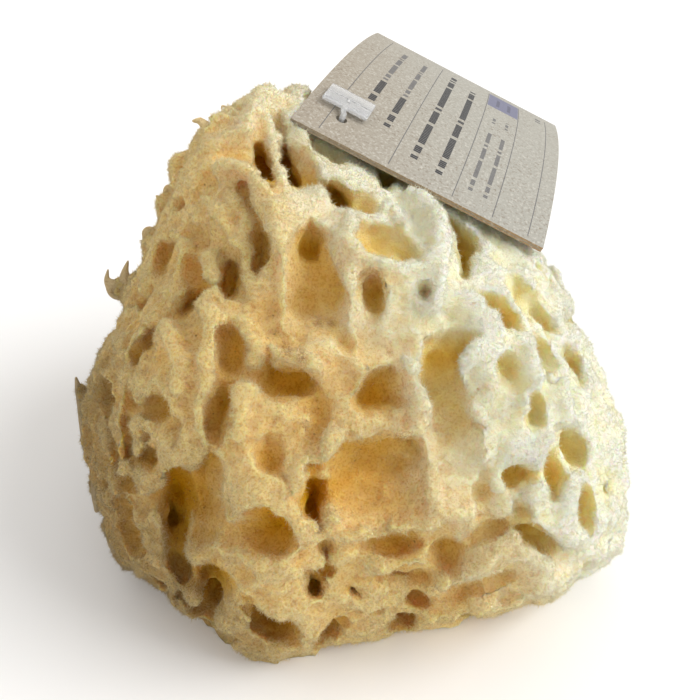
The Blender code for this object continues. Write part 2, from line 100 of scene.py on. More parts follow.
# %% Set the card's place and arch
CARD_SHORT = 60 * MM
CARD_LONG = 85 * MM
CARD_THICK = 1.2 * MM
CARD_ARCH = math.radians(20.4)
CARD_CORNER = Vector((-12.8, 1.0, 56.6)) * MM + SHEET_MIDDLE
CARD_ACROSS = Vector((0.8916, -0.2174, -0.3973)).normalized()
CARD_NORMAL = CARD_ACROSS.cross(Vector((0.2435, 0.9698, 0.0159))).normalized()
CARD_ALONG = CARD_NORMAL.cross(CARD_ACROSS).normalized()
CARD_RADIUS = CARD_LONG / CARD_ARCH
# Where the card begins to press on what lies under it, measured across it from its corner, and how
# wide the soft border of that press is.
CARD_PRESS_FROM = -7 * MM
CARD_PRESS_WIDTH = 6 * MM


def card_point(short, long, height):
    """A place on the arched card."""
    start = -CARD_ARCH / 2
    turn = start + long / CARD_RADIUS
    reach = CARD_RADIUS + height
    along = reach * math.sin(turn) - CARD_RADIUS * math.sin(start)
    rise = reach * math.cos(turn) - CARD_RADIUS * math.cos(start)
    return CARD_CORNER + CARD_ACROSS * short + CARD_ALONG * along + CARD_NORMAL * rise


def card_axes(long):
    """The directions across, along and out of the card at a distance along its long side."""
    turn = long / CARD_RADIUS - CARD_ARCH / 2
    out = CARD_ALONG * math.sin(turn) + CARD_NORMAL * math.cos(turn)
    return Matrix((CARD_ACROSS, out.cross(CARD_ACROSS), out)).transposed().to_4x4()


def pressed_below_card(points, gap):
    """Presses points down to a gap below the card's corner plane, where the card covers them."""
    offset = points - np.array(CARD_CORNER)
    height = offset @ np.array(CARD_NORMAL)
    beside = offset @ np.array(CARD_ACROSS)
    cover = np.clip((beside - CARD_PRESS_FROM) / CARD_PRESS_WIDTH, 0, 1)
    push = np.clip(height + gap, 0, None) * cover
    return points - push[:, None] * np.array(CARD_NORMAL)


far_corner = card_point(CARD_SHORT, CARD_LONG, 0)
print("the card's far corner is at", tuple(round(value, 4) for value in far_corner))

# %% [markdown]
# ## The whole lump, before any pore
#
# A honeycomb sponge grows as an uneven dome: broad swellings, and all over them a net of low ridges
# between shallow cells. The dome starts as a fine icosphere, whose triangles are all about the same
# size. One function moves all its corners at once: the outline on the sheet gives the reach to each
# side, and two depths give the reach towards the eye and away from it.

# %% Set the outline and the growth of the lump
OUTLINE = [
    (302, 92), (370, 106), (430, 130), (478, 170), (518, 214), (546, 250), (562, 286), (578, 322),
    (590, 350), (606, 390), (618, 442), (624, 478), (624, 526), (614, 554), (586, 570), (562, 590),
    (534, 600), (478, 620), (422, 626), (386, 632), (350, 642), (314, 650), (290, 662), (262, 656),
    (226, 638), (186, 618), (170, 598), (150, 584), (128, 562), (110, 530), (102, 502), (96, 470),
    (90, 438), (84, 398), (87, 370), (96, 344), (112, 316), (131, 282), (144, 246), (160, 210),
    (173, 180), (184, 154), (196, 128), (214, 118), (238, 106), (262, 94),
]
OUTLINE_MIDDLE = (350, 376)
OUTLINE_SOFTNESS = 3
DEGREES = np.arange(-180, 180)
# How often the icosphere's triangles are split.
LUMP_FINENESS = 6
FRONT_DEPTH = 55 * MM
BACK_DEPTH = 74 * MM
BODY_SQUARENESS = 2.1
LUMP_SIZE = 26 * MM
LUMP_HEIGHT = 2.6 * MM
FINE_LUMPS = 2.3
FINE_LUMP_SHARE = 0.5
CELL_SIZE = 15 * MM
CELL_DEPTH = 5.5 * MM
SEEN_CELL_SIZE = 9 * MM
SEEN_CELL_DEPTH = 2.2 * MM
RIDGE_SHARE = 0.55
SEEN_BLEND = 3
REST_GAP = 2 * MM

# Swellings and hollows of the side that faces the viewer: place on the sheet, reach and height in
# millimetres.
SWELLINGS = [
    (246, 558, 15, 3), (142, 470, 11, 3), (494, 362, 13, 4), (230, 342, 14, 3), (398, 406, 11, 3),
    (270, 486, 11, 3), (550, 518, 15, 3), (286, 214, 12, 3), (194, 510, 8, -9), (450, 430, 12, -6),
    (310, 302, 9, -4), (382, 482, 10, -4), (166, 302, 9, -3),
]


def outline_reach():
    """The outline's distance from its middle for every whole degree, gently smoothed."""
    offsets = (np.array(OUTLINE) - OUTLINE_MIDDLE) * (STEP, -STEP)
    angles = np.degrees(np.arctan2(offsets[:, 1], offsets[:, 0]))
    reaches = np.hypot(offsets[:, 0], offsets[:, 1])
    order = np.argsort(angles)
    sharp = np.interp(DEGREES, angles[order], reaches[order], period=360)
    shifts = np.arange(-3 * OUTLINE_SOFTNESS, 3 * OUTLINE_SOFTNESS + 1)
    weights = np.exp(-((shifts / OUTLINE_SOFTNESS) ** 2))
    return sum(np.roll(sharp, s) * w for s, w in zip(shifts, weights)) / weights.sum()


def cell_hollow(place, size):
    """0 on the ridge between two growth cells, 1 in the middle of a cell."""
    nearest, second = noise.voronoi((place - SHEET_MIDDLE) / size)[0][:2]
    share = min((second - nearest) / RIDGE_SHARE, 1)
    return share * share * (3 - 2 * share)


def lump_height(place):
    """Uneven growth: broad lumps with smaller ones on them."""
    grain = (place - SHEET_MIDDLE) / LUMP_SIZE
    fine = noise.noise(grain * FINE_LUMPS) * FINE_LUMP_SHARE
    return (noise.noise(grain) + fine) * LUMP_HEIGHT


def get_points(bm):
    return np.array([vert.co for vert in bm.verts])


def set_points(bm, points):
    for vert, point in zip(bm.verts, points):
        vert.co = point
    bm.normal_update()


print("outline of", len(OUTLINE), "places,", len(SWELLINGS), "swellings and hollows")

# %% [markdown]
# The icosphere's corners are read into one array, moved there all at once, and put back. The side
# that is seen gets swellings where the sheet says, and small growth cells. The other sides get
# larger cells. Where the card lies, everything is pressed down below it.

# %% Shape the lump
def add_swellings(height, points, facing):
    """Raises the height where the sheet has swellings, as far as each point faces the eye."""
    right, down = seen_on_sheet(points)
    for swell_right, swell_down, swell_reach, swell_height in SWELLINGS:
        away = np.hypot(right - swell_right, down - swell_down) * STEP / MM / swell_reach
        height += swell_height * MM * np.exp(-away * away) * facing


def lump_bmesh():
    """The sponge's lump as a bmesh, without pores."""
    bm = bmesh.new()
    bmesh.ops.create_icosphere(bm, subdivisions=LUMP_FINENESS, radius=1)
    side, rise, near = get_points(bm).T
    flat = np.hypot(side, rise)
    angle = np.degrees(np.arctan2(rise, side))
    reach = np.interp(angle, DEGREES, outline_reach(), period=360)
    # A near eye sees a lump larger than it is, so it is made smaller by that share.
    reach *= math.sqrt(1 - (FRONT_DEPTH / EYE_DISTANCE) ** 2)
    power = 2 / BODY_SQUARENESS
    spread = flat ** power * reach
    depth = np.sign(near) * np.abs(near) ** power * np.where(near > 0, FRONT_DEPTH, BACK_DEPTH)
    turn = np.radians(angle)
    middle = np.array(sheet_point(*OUTLINE_MIDDLE))
    points = middle + np.outer(spread * np.cos(turn), RIGHT)
    points += np.outer(spread * np.sin(turn), UP) + np.outer(depth, TO_EYE)
    outward = points - middle
    outward /= np.linalg.norm(outward, axis=1)[:, None]
    facing = np.clip(near * SEEN_BLEND, 0, 1)
    places = [Vector(point) for point in points]
    height = np.array([lump_height(place) for place in places])
    fine = np.array([cell_hollow(place, SEEN_CELL_SIZE) for place in places])
    coarse = np.array([cell_hollow(place, CELL_SIZE) for place in places])
    height -= fine * SEEN_CELL_DEPTH * facing + coarse * CELL_DEPTH * (1 - facing)
    add_swellings(height, points, facing)
    points += outward * height[:, None]
    set_points(bm, pressed_below_card(points, REST_GAP))
    return bm


lump = lump_bmesh()
lump_tree = BVHTree.FromBMesh(lump)
print("the lump has", len(lump.faces), "faces")

# %% [markdown]
# ## Tools for ridges and wells
#
# Ridges and wells are described on the sheet and land on the surface where the line of sight meets
# it, so their places are easy to read. Routes and outlines are rounded by a curve through their
# points, which keeps the lists short. Every shape is made in a small bmesh of its own and laid on a
# pile, because an operator gets slower with the size of the mesh that it works in.

# %% Read the surface and pile up shapes
ROUTE_FINENESS = 4


def curve_through(points, closed):
    """Points along a smooth curve through the given ones, ROUTE_FINENESS to each stretch."""
    points = np.array(points, float)
    if closed:
        points = np.vstack([points[-1], points, points[:2]])
    else:
        points = np.vstack([2 * points[0] - points[1], points, 2 * points[-1] - points[-2]])
    curve = []
    for a, b, c, d in zip(points, points[1:], points[2:], points[3:]):
        for t in np.arange(ROUTE_FINENESS) / ROUTE_FINENESS:
            bend = 2 * b + (c - a) * t + (2 * a - 5 * b + 4 * c - d) * t * t
            curve.append((bend + (3 * b - a - 3 * c + d) * t ** 3) / 2)
    if not closed:
        curve.append(points[-2])
    return np.array(curve)


def surface_seen(right, down):
    """Place and normal where the line of sight meets the lump, the line, and how much larger a
    thing is there than on the sheet."""
    aim = sheet_point(right, down) - EYE
    place, normal, _, distance = lump_tree.ray_cast(EYE, aim.normalized())
    if place is None:
        place, normal, _, distance = lump_tree.find_nearest(sheet_point(right, down))
        return place, normal, aim.normalized(), 1
    return place, normal, aim.normalized(), distance / aim.length


def oriented(out, turn):
    """Axes of a shape that lies on a surface: its first axis turned by the angle, out the third."""
    out = out.normalized()
    side = (RIGHT - out * RIGHT.dot(out)).normalized()
    first = side * math.cos(turn) + out.cross(side) * math.sin(turn)
    return Matrix((first, out.cross(first), out)).transposed().to_4x4()


def mesh_of(bm, name):
    """The bmesh as a mesh; the bmesh is used up."""
    mesh = bpy.data.meshes.new(name)
    bm.to_mesh(mesh)
    bm.free()
    return mesh


def pile_up(bm, shapes):
    """Adds a pile of small meshes to a bmesh and empties the pile."""
    while shapes:
        shape = shapes.pop()
        bm.from_mesh(shape)
        bpy.data.meshes.remove(shape)
    return bm


print("tools to read the surface ready")

# %% [markdown]
# Two kinds of shape turn the lump into a sponge. A ridge is a chain of small overlapping balls laid
# along a route on the surface, like a bead of filler. A well is a hollow with a mouth of any
# outline: its outline becomes a face, and this face is extruded inwards in steps that narrow to a
# rounded end.

# %% Make the tools for ridges and wells
# The distance between the balls of a chain, as a share of their width.
BALL_SPACING = 0.3
WELL_LEAN = 0.35
DEEP_WELL_LEAN = 0.12
WELL_STEPS = 7
# The last ring keeps some width, because it is this share of a step short of the rounded end.
WELL_END = 0.3
WELL_ABOVE = 5 * MM
# How a mouth opens: how deep, in millimetres, and how many times wider than its outline.
MOUTH = [(-0.6, 1.26), (0.9, 1.13), (2.4, 1.0)]


def ball(bm, place, axes, sizes, fineness):
    scale = Matrix.Diagonal((*[size / 2 for size in sizes], 1))
    matrix = Matrix.Translation(place) @ axes @ scale
    bmesh.ops.create_icosphere(bm, subdivisions=fineness, radius=1, matrix=matrix)


def add_ball(shapes, place, axes, sizes, fineness=3):
    """An ellipsoid of the given full sizes."""
    bm = bmesh.new()
    ball(bm, place, axes, sizes, fineness)
    shapes.append(mesh_of(bm, "ball"))


def add_chain(shapes, places, widths):
    """Overlapping balls along places in space, each as wide as its width says."""
    bm = bmesh.new()
    identity = Matrix.Identity(4)
    for start, end, width, end_width in zip(places, places[1:], widths, widths[1:]):
        spacing = min(width, end_width) * BALL_SPACING
        count = max(1, math.ceil((end - start).length / spacing))
        for step in range(count):
            share = step / count
            size = width + (end_width - width) * share
            ball(bm, start.lerp(end, share), identity, [size] * 3, 1)
    ball(bm, places[-1], identity, [widths[-1]] * 3, 1)
    shapes.append(mesh_of(bm, "chain"))


def add_ridge(shapes, route, lift):
    """A ridge along a route of (right, down, width). Lift raises its middle line off the surface,
    and a lift below 0 makes a furrow of it. Widths and lift are in millimetres."""
    places, widths = [], []
    for right, down, width in curve_through(route, closed=False):
        place, normal, ray, scale = surface_seen(right, down)
        places.append(place + (normal - ray).normalized() * lift * MM)
        widths.append(width * scale * MM)
    add_chain(shapes, places, widths)


def extruded(bm, face):
    """Extrudes a face on the spot and gives the new face at the end."""
    grown = bmesh.ops.extrude_face_region(bm, geom=[face])["geom"]
    return next(part for part in grown if isinstance(part, bmesh.types.BMFace))


def well_steps(reach, deep, dish):
    """How far ahead each ring of a well lies, and how wide it is beside the outline."""
    steps = [(reach + fall * MM, share) for fall, share in MOUTH if fall < deep / 2]
    rim = steps[-1][0]
    for step in range(1, WELL_STEPS + 1):
        fall = dish + (1 - dish) * (step - WELL_END) / WELL_STEPS
        share = math.sqrt(1 - fall * fall) / math.sqrt(1 - dish * dish)
        steps.append((rim + (reach + deep * MM - rim) * step / WELL_STEPS, share))
    return steps


def add_well(shapes, outline, deep, dish):
    """A well along the line of sight, with the outline as its mouth. It leans from that line
    towards the surface's own direction, a steep one less than a dished one. dish is 0 for steep
    walls and near 1 for a flat dish."""
    ring = curve_through(outline, closed=True)
    aims = [(sheet_point(right, down) - EYE).normalized() for right, down in ring]
    reaches = [(surface_seen(right, down)[0] - EYE).length for right, down in ring]
    _, normal, ray, _ = surface_seen(*ring.mean(axis=0))
    reach = float(np.mean(reaches))
    lean = -(normal - ray * normal.dot(ray)) * (WELL_LEAN if dish else DEEP_WELL_LEAN)
    start = min(reaches) - WELL_ABOVE
    bm = bmesh.new()
    face = bm.faces.new([bm.verts.new(EYE + aim * start) for aim in aims])
    size = MOUTH[0][1]
    middle = sum((vert.co for vert in face.verts), Vector()) / len(aims)
    bmesh.ops.scale(bm, verts=bm.verts[:], vec=[size] * 3, space=Matrix.Translation(-middle))
    from_eye = Matrix.Translation(-EYE)
    for ahead, share in well_steps(reach, deep, dish):
        face = extruded(bm, face)
        verts = list(face.verts)
        bmesh.ops.scale(bm, verts=verts, vec=[ahead / start] * 3, space=from_eye)
        centre = sum((vert.co for vert in verts), Vector()) / len(verts)
        bmesh.ops.scale(bm, verts=verts, vec=[share / size] * 3, space=Matrix.Translation(-centre))
        bmesh.ops.translate(bm, verts=verts, vec=lean * max(ahead - max(reach, start), 0))
        start, size, reach = ahead, share, max(reach, ahead)
    shapes.append(mesh_of(bm, "well"))


print("tools for ridges and wells ready")

# %% [markdown]
# ## Ridges, lips and flakes
#
# Between its pores the sponge stands up in struts, woolly lips and, on its left flank, in thin
# flakes that make its outline ragged. They are laid on the lump first, and everything is melted
# together by a voxel remesh afterwards, so where two chains meet they grow into one.

# %% Lay the ridges on the lump
# Each ridge: how far it is lifted, and its route as (right, down, width).
RIDGES = [
    (1.0, [(298, 130, 3.5), (306, 150, 4), (313, 168, 4), (318, 192, 4)]),
    (1.6, [(222, 170, 3.5), (233, 166, 4.5), (246, 170, 4), (255, 176, 4), (264, 187, 4.5),
           (282, 188, 4.5), (300, 187, 4), (320, 193, 4)]),
    (2.2, [(203, 197, 2.4), (213, 201, 2.8), (223, 214, 3.2), (231, 230, 3.2), (243, 246, 3)]),
    (1.4, [(271, 205, 4), (281, 230, 5), (285, 265, 5), (286, 300, 4.5), (284, 330, 4.5)]),
    (1.8, [(360, 228, 3), (364, 215, 3.4), (378, 207, 4), (394, 212, 4), (402, 226, 3)]),
    (1.2, [(345, 212, 5), (350, 240, 6), (352, 268, 6), (350, 300, 6), (347, 322, 5)]),
    (2.0, [(410, 198, 6), (425, 215, 8), (436, 240, 8), (438, 270, 7), (428, 300, 7)]),
    (2.2, [(405, 362, 4), (414, 378, 5), (418, 395, 5), (420, 410, 5), (412, 425, 6), (400, 432, 5)]),
    (1.6, [(360, 262, 3.5), (380, 263, 4), (402, 262, 4), (420, 262, 4)]),
    (1.5, [(167, 482, 3), (172, 470, 3.6), (181, 455, 3)]),
    (1.4, [(421, 466, 4), (430, 480, 4.5), (436, 498, 4)]),
    (2.0, [(386, 567, 4), (404, 561, 5), (420, 562, 5), (436, 568, 4)]),
    (1.6, [(342, 536, 4), (372, 529, 5), (410, 525, 5), (440, 514, 5), (466, 510, 5)]),
    (1.5, [(430, 580, 4), (455, 578, 4.5), (480, 562, 4.5), (505, 552, 5), (524, 552, 4)]),
    (1.2, [(428, 612, 5), (460, 608, 5), (500, 597, 5), (540, 586, 5), (566, 576, 5)]),
    (1.5, [(522, 342, 4), (531, 362, 4.5), (532, 385, 4.5), (524, 398, 4)]),
    (1.4, [(556, 366, 4), (560, 395, 4.5), (560, 425, 4.5), (548, 444, 4)]),
    (1.6, [(248, 395, 3), (256, 380, 4), (262, 364, 4), (266, 350, 3.5)]),
    (2.2, [(268, 350, 3), (278, 356, 4), (292, 358, 4), (306, 358, 4), (316, 370, 3.5)]),
    (1.4, [(334, 440, 5), (330, 460, 5), (330, 490, 4), (334, 515, 5)]),
    (1.5, [(296, 500, 3), (298, 478, 3.5), (306, 462, 3.5)]),
    (1.3, [(160, 560, 4), (192, 556, 5), (214, 548, 5), (228, 520, 4)]),
    (1.6, [(436, 350, 4), (425, 372, 4), (424, 386, 4), (431, 402, 4), (434, 410, 4)]),
    (1.2, [(470, 345, 5), (458, 370, 5), (459, 388, 5), (467, 402, 5), (476, 425, 5), (484, 455, 5)]),
    (1.6, [(417, 437, 3), (426, 448, 4.5), (434, 462, 3.5)]),
    (1.8, [(393, 436, 3), (404, 434, 4.5), (416, 438, 3)]),
    (1.4, [(150, 405, 3), (168, 400, 4), (186, 412, 4), (192, 430, 4), (184, 452, 4)]),
    (1.3, [(208, 378, 4), (203, 400, 4.5), (202, 425, 4.5), (212, 446, 4)]),
    (1.3, [(236, 384, 5), (240, 410, 6), (240, 435, 6)]),
    (1.5, [(168, 330, 5), (178, 345, 6), (186, 368, 6), (182, 388, 5)]),
    (1.4, [(205, 308, 4), (214, 318, 4), (212, 340, 4), (208, 362, 4)]),
    (1.2, [(176, 240, 4), (186, 250, 4), (182, 270, 4), (176, 288, 4)]),
    (1.2, [(211, 256, 3.5), (214, 275, 4), (218, 296, 4), (232, 305, 4)]),
    (1.6, [(243, 104, 3.5), (233, 114, 3.5), (215, 125, 3.5), (207, 132, 3)]),
    (1.4, [(190, 142, 4), (186, 152, 4.5), (180, 162, 4), (170, 178, 4)]),
    (1.4, [(250, 118, 4), (258, 104, 4), (270, 98, 4), (284, 104, 4)]),
    (1.6, [(287, 124, 4), (294, 110, 5), (300, 98, 4.5), (298, 91, 3)]),
]

# Flakes and lobes that stand out of the flank at the outline: place, length, width, turn in degrees,
# and thickness in millimetres. They stand a little nearer than the sheet.
FLAKES = [
    (124, 286, 7, 5, 50, 2.5), (90, 362, 7, 6, 90, 5), (92, 338, 6, 6, 100, 5),
    (92, 414, 20, 5, 104, 3.0), (106, 490, 11, 7, 95, 4), (126, 546, 14, 8, 120, 6),
    (170, 208, 8, 6, 100, 4), (156, 240, 9, 6, 60, 5), (212, 124, 7, 5, 30, 4),
    (296, 102, 8, 7, 80, 7), (254, 108, 10, 6, 20, 6),
]
FLAKE_NEARNESS = 7 * MM

# Ragged tips of the flakes, as routes on the sheet of (right, down, width).
TIPS = [
    [(122, 286, 3.5), (111, 284, 3), (107, 279, 1.6), (108, 270, 0.6)],
    [(126, 284, 4), (125, 273, 2.2), (128, 261, 0.6)],
    [(109, 284, 2.4), (111, 293, 1.8), (118, 297, 1.8), (128, 292, 2.6)],
    [(84, 408, 3.5), (79, 390, 2.2), (76, 378, 0.8)],
    [(80, 396, 2), (84, 430, 2.4), (90, 462, 2)],
    [(100, 470, 3), (96, 488, 3), (97, 510, 1.6)],
    [(108, 508, 4), (118, 518, 3), (109, 530, 1.4)],
    [(108, 530, 2), (114, 545, 3), (124, 560, 3)],
    [(172, 206, 4), (162, 202, 2.5), (157, 196, 0.8)],
    [(170, 214, 3), (162, 217, 2), (160, 223, 0.8)],
    [(178, 192, 3), (168, 188, 2), (164, 194, 1)],
    [(160, 236, 4), (148, 232, 3), (144, 238, 1.0)],
    [(206, 126, 3), (200, 121, 2.0), (193, 121, 0.8)],
    [(232, 112, 1.6), (228, 108, 0.8), (222, 106, 0.6), (222, 111, 0.5)],
    [(262, 100, 1.2), (261, 90, 0.6), (266, 82, 0.4)],
    [(261, 92, 0.6), (257, 86, 0.4)],
    [(268, 98, 1), (270, 88, 0.5), (269, 80, 0.4)],
    [(252, 104, 1), (248, 97, 0.5), (247, 94, 0.4)],
    [(288, 100, 3), (287, 92, 1), (285, 87, 0.4)],
    [(294, 98, 3), (294, 91, 1), (295, 86, 0.4)],
    [(300, 98, 3), (302, 92, 1), (304, 88, 0.4)],
]


def at_outline(right, down):
    """A place beside the outline, a little nearer to the eye than the sheet."""
    return EYE + (sheet_point(right, down) - EYE) * (1 - FLAKE_NEARNESS / EYE_DISTANCE)


def add_flakes(shapes):
    for right, down, length, width, turn, thick in FLAKES:
        axes = oriented(TO_EYE, math.radians(turn))
        sizes = [size * MM for size in (length, width, thick)]
        add_ball(shapes, at_outline(right, down), axes, sizes)


grown = []
for lift, route in RIDGES:
    add_ridge(grown, route, lift)
add_flakes(grown)
pile_up(lump, grown)
print(len(RIDGES), "ridges and", len(FLAKES), "flakes laid on the lump")

# %% [markdown]
# ## Pores, basins and troughs
#
# The pores are what a sponge is made of. Water flows in through the small ones and out through the
# large ones, whose mouths stand open on top. They are kept in lists. Deep pores are dark inside.
# Basins are shallow and let light through their floors, which makes them glow like amber. Furrows
# are grooves that lead from one pore to the next, and dots are narrow canals.

# %% List the wells of the side that is seen
# Each well: depth in millimetres, how dished it is, and the outline of its mouth.
DEEP_PORES = [
    (40, 0.0, [(259, 134), (267, 138), (273, 150), (277, 164), (279, 180), (270, 183), (259, 172),
               (254, 160), (253, 146)]),
    (40, 0.0, [(284, 132), (290, 138), (296, 152), (300, 170), (301, 187), (292, 187), (283, 176),
               (278, 160), (279, 144)]),
    (28, 0.0, [(329, 174), (338, 176), (346, 184), (352, 197), (350, 209), (341, 207), (330, 200),
               (323, 187)]),
    (17, 0.0, [(310, 219), (318, 225), (328, 230), (327, 240), (322, 256), (316, 266), (308, 259),
               (302, 252), (301, 240), (302, 229)]),
    (15, 0.0, [(257, 216), (263, 228), (268, 240), (269, 252), (267, 264), (261, 276), (253, 274),
               (249, 262), (250, 250), (250, 232)]),
    (13, 0.0, [(225, 255), (233, 260), (237, 270), (235, 286), (228, 297), (222, 290), (221, 275),
               (222, 262)]),
    (16, 0.0, [(186, 292), (197, 291), (207, 289), (207, 297), (196, 303), (188, 311), (180, 318),
               (172, 315), (176, 304)]),
    (13, 0.0, [(149, 322), (157, 325), (156, 335), (152, 346), (146, 353), (140, 361), (137, 371),
               (130, 364), (126, 357), (130, 347), (140, 336)]),
    (18, 0.0, [(376, 158), (392, 160), (404, 172), (405, 188), (396, 182), (387, 188), (379, 178)]),
    (13, 0.0, [(508, 272), (520, 272), (530, 282), (534, 300), (541, 318), (531, 322), (522, 304),
               (512, 294)]),
    (13, 0.0, [(530, 400), (536, 392), (545, 394), (548, 410), (546, 425), (538, 430), (530, 428),
               (528, 418), (532, 410)]),
    (14, 0.0, [(264, 354), (270, 362), (284, 367), (300, 366), (311, 376), (313, 390), (302, 397),
               (282, 398), (268, 394), (260, 378)]),
    (24, 0.0, [(311, 476), (324, 481), (326, 492), (330, 499), (325, 511), (323, 525), (320, 536),
               (316, 527), (309, 520), (302, 512), (300, 502), (303, 490)]),
    (13, 0.0, [(217, 385), (230, 387), (231, 405), (227, 425), (219, 441), (209, 437), (205, 415),
               (209, 398)]),
    (14, 0.0, [(172, 478), (186, 484), (188, 510), (182, 545), (184, 585), (178, 600), (168, 580),
               (164, 545), (165, 505)]),
    (36, 0.0, [(164, 497), (172, 499), (178, 512), (177, 527), (169, 537), (165, 518)]),
    (13, 0.0, [(146, 446), (154, 450), (155, 462), (149, 471), (142, 464), (141, 452)]),
    (9, 0.0, [(120, 412), (127, 414), (129, 426), (124, 434), (119, 426)]),
    (9, 0.0, [(134, 459), (142, 461), (141, 469), (135, 468)]),
    (9, 0.0, [(123, 446), (130, 448), (129, 458), (123, 456)]),
    (11, 0.0, [(147, 398), (160, 395), (168, 405), (162, 417), (151, 421), (145, 410)]),
    (20, 0.0, [(255, 525), (262, 528), (265, 538), (259, 546), (252, 541), (250, 532)]),
    (18, 0.0, [(244, 600), (252, 604), (262, 612), (273, 616), (272, 625), (258, 624), (247, 618),
               (241, 609)]),
    (20, 0.0, [(306, 577), (317, 576), (324, 585), (321, 597), (312, 602), (304, 592)]),
    (15, 0.0, [(321, 567), (333, 566), (334, 575), (327, 580), (321, 577)]),
    (10, 0.0, [(302, 569), (311, 567), (309, 577), (303, 577)]),
    (11, 0.0, [(321, 548), (330, 544), (335, 552), (331, 561), (323, 559)]),
    (8, 0.0, [(437, 548), (448, 542), (459, 545), (463, 558), (460, 571), (448, 576), (437, 571),
               (432, 558)]),
    (8, 0.0, [(461, 541), (472, 531), (485, 524), (500, 518), (510, 524), (506, 534), (492, 541),
               (477, 548), (465, 550)]),
    (8, 0.0, [(520, 531), (532, 528), (548, 537), (563, 549), (576, 562), (575, 573), (562, 569),
               (545, 557), (529, 546)]),
    (8, 0.0, [(477, 585), (488, 576), (500, 569), (516, 566), (527, 570), (521, 580), (505, 586),
               (489, 592)]),
    (8, 0.0, [(438, 599), (450, 589), (463, 583), (477, 584), (475, 594), (462, 602), (448, 607)]),
    (10, 0.0, [(401, 441), (415, 439), (421, 450), (418, 461), (408, 457), (400, 449)]),
    (8, 0.0, [(399, 219), (402, 221), (403, 231), (400, 233)]),
    (8, 0.0, [(263, 346), (272, 350), (272, 360), (265, 358)]),
    (8, 0.0, [(217, 151), (221, 155), (223, 161), (219, 159)]),
    (9, 0.0, [(211, 552), (221, 554), (219, 561), (211, 559)]),
]
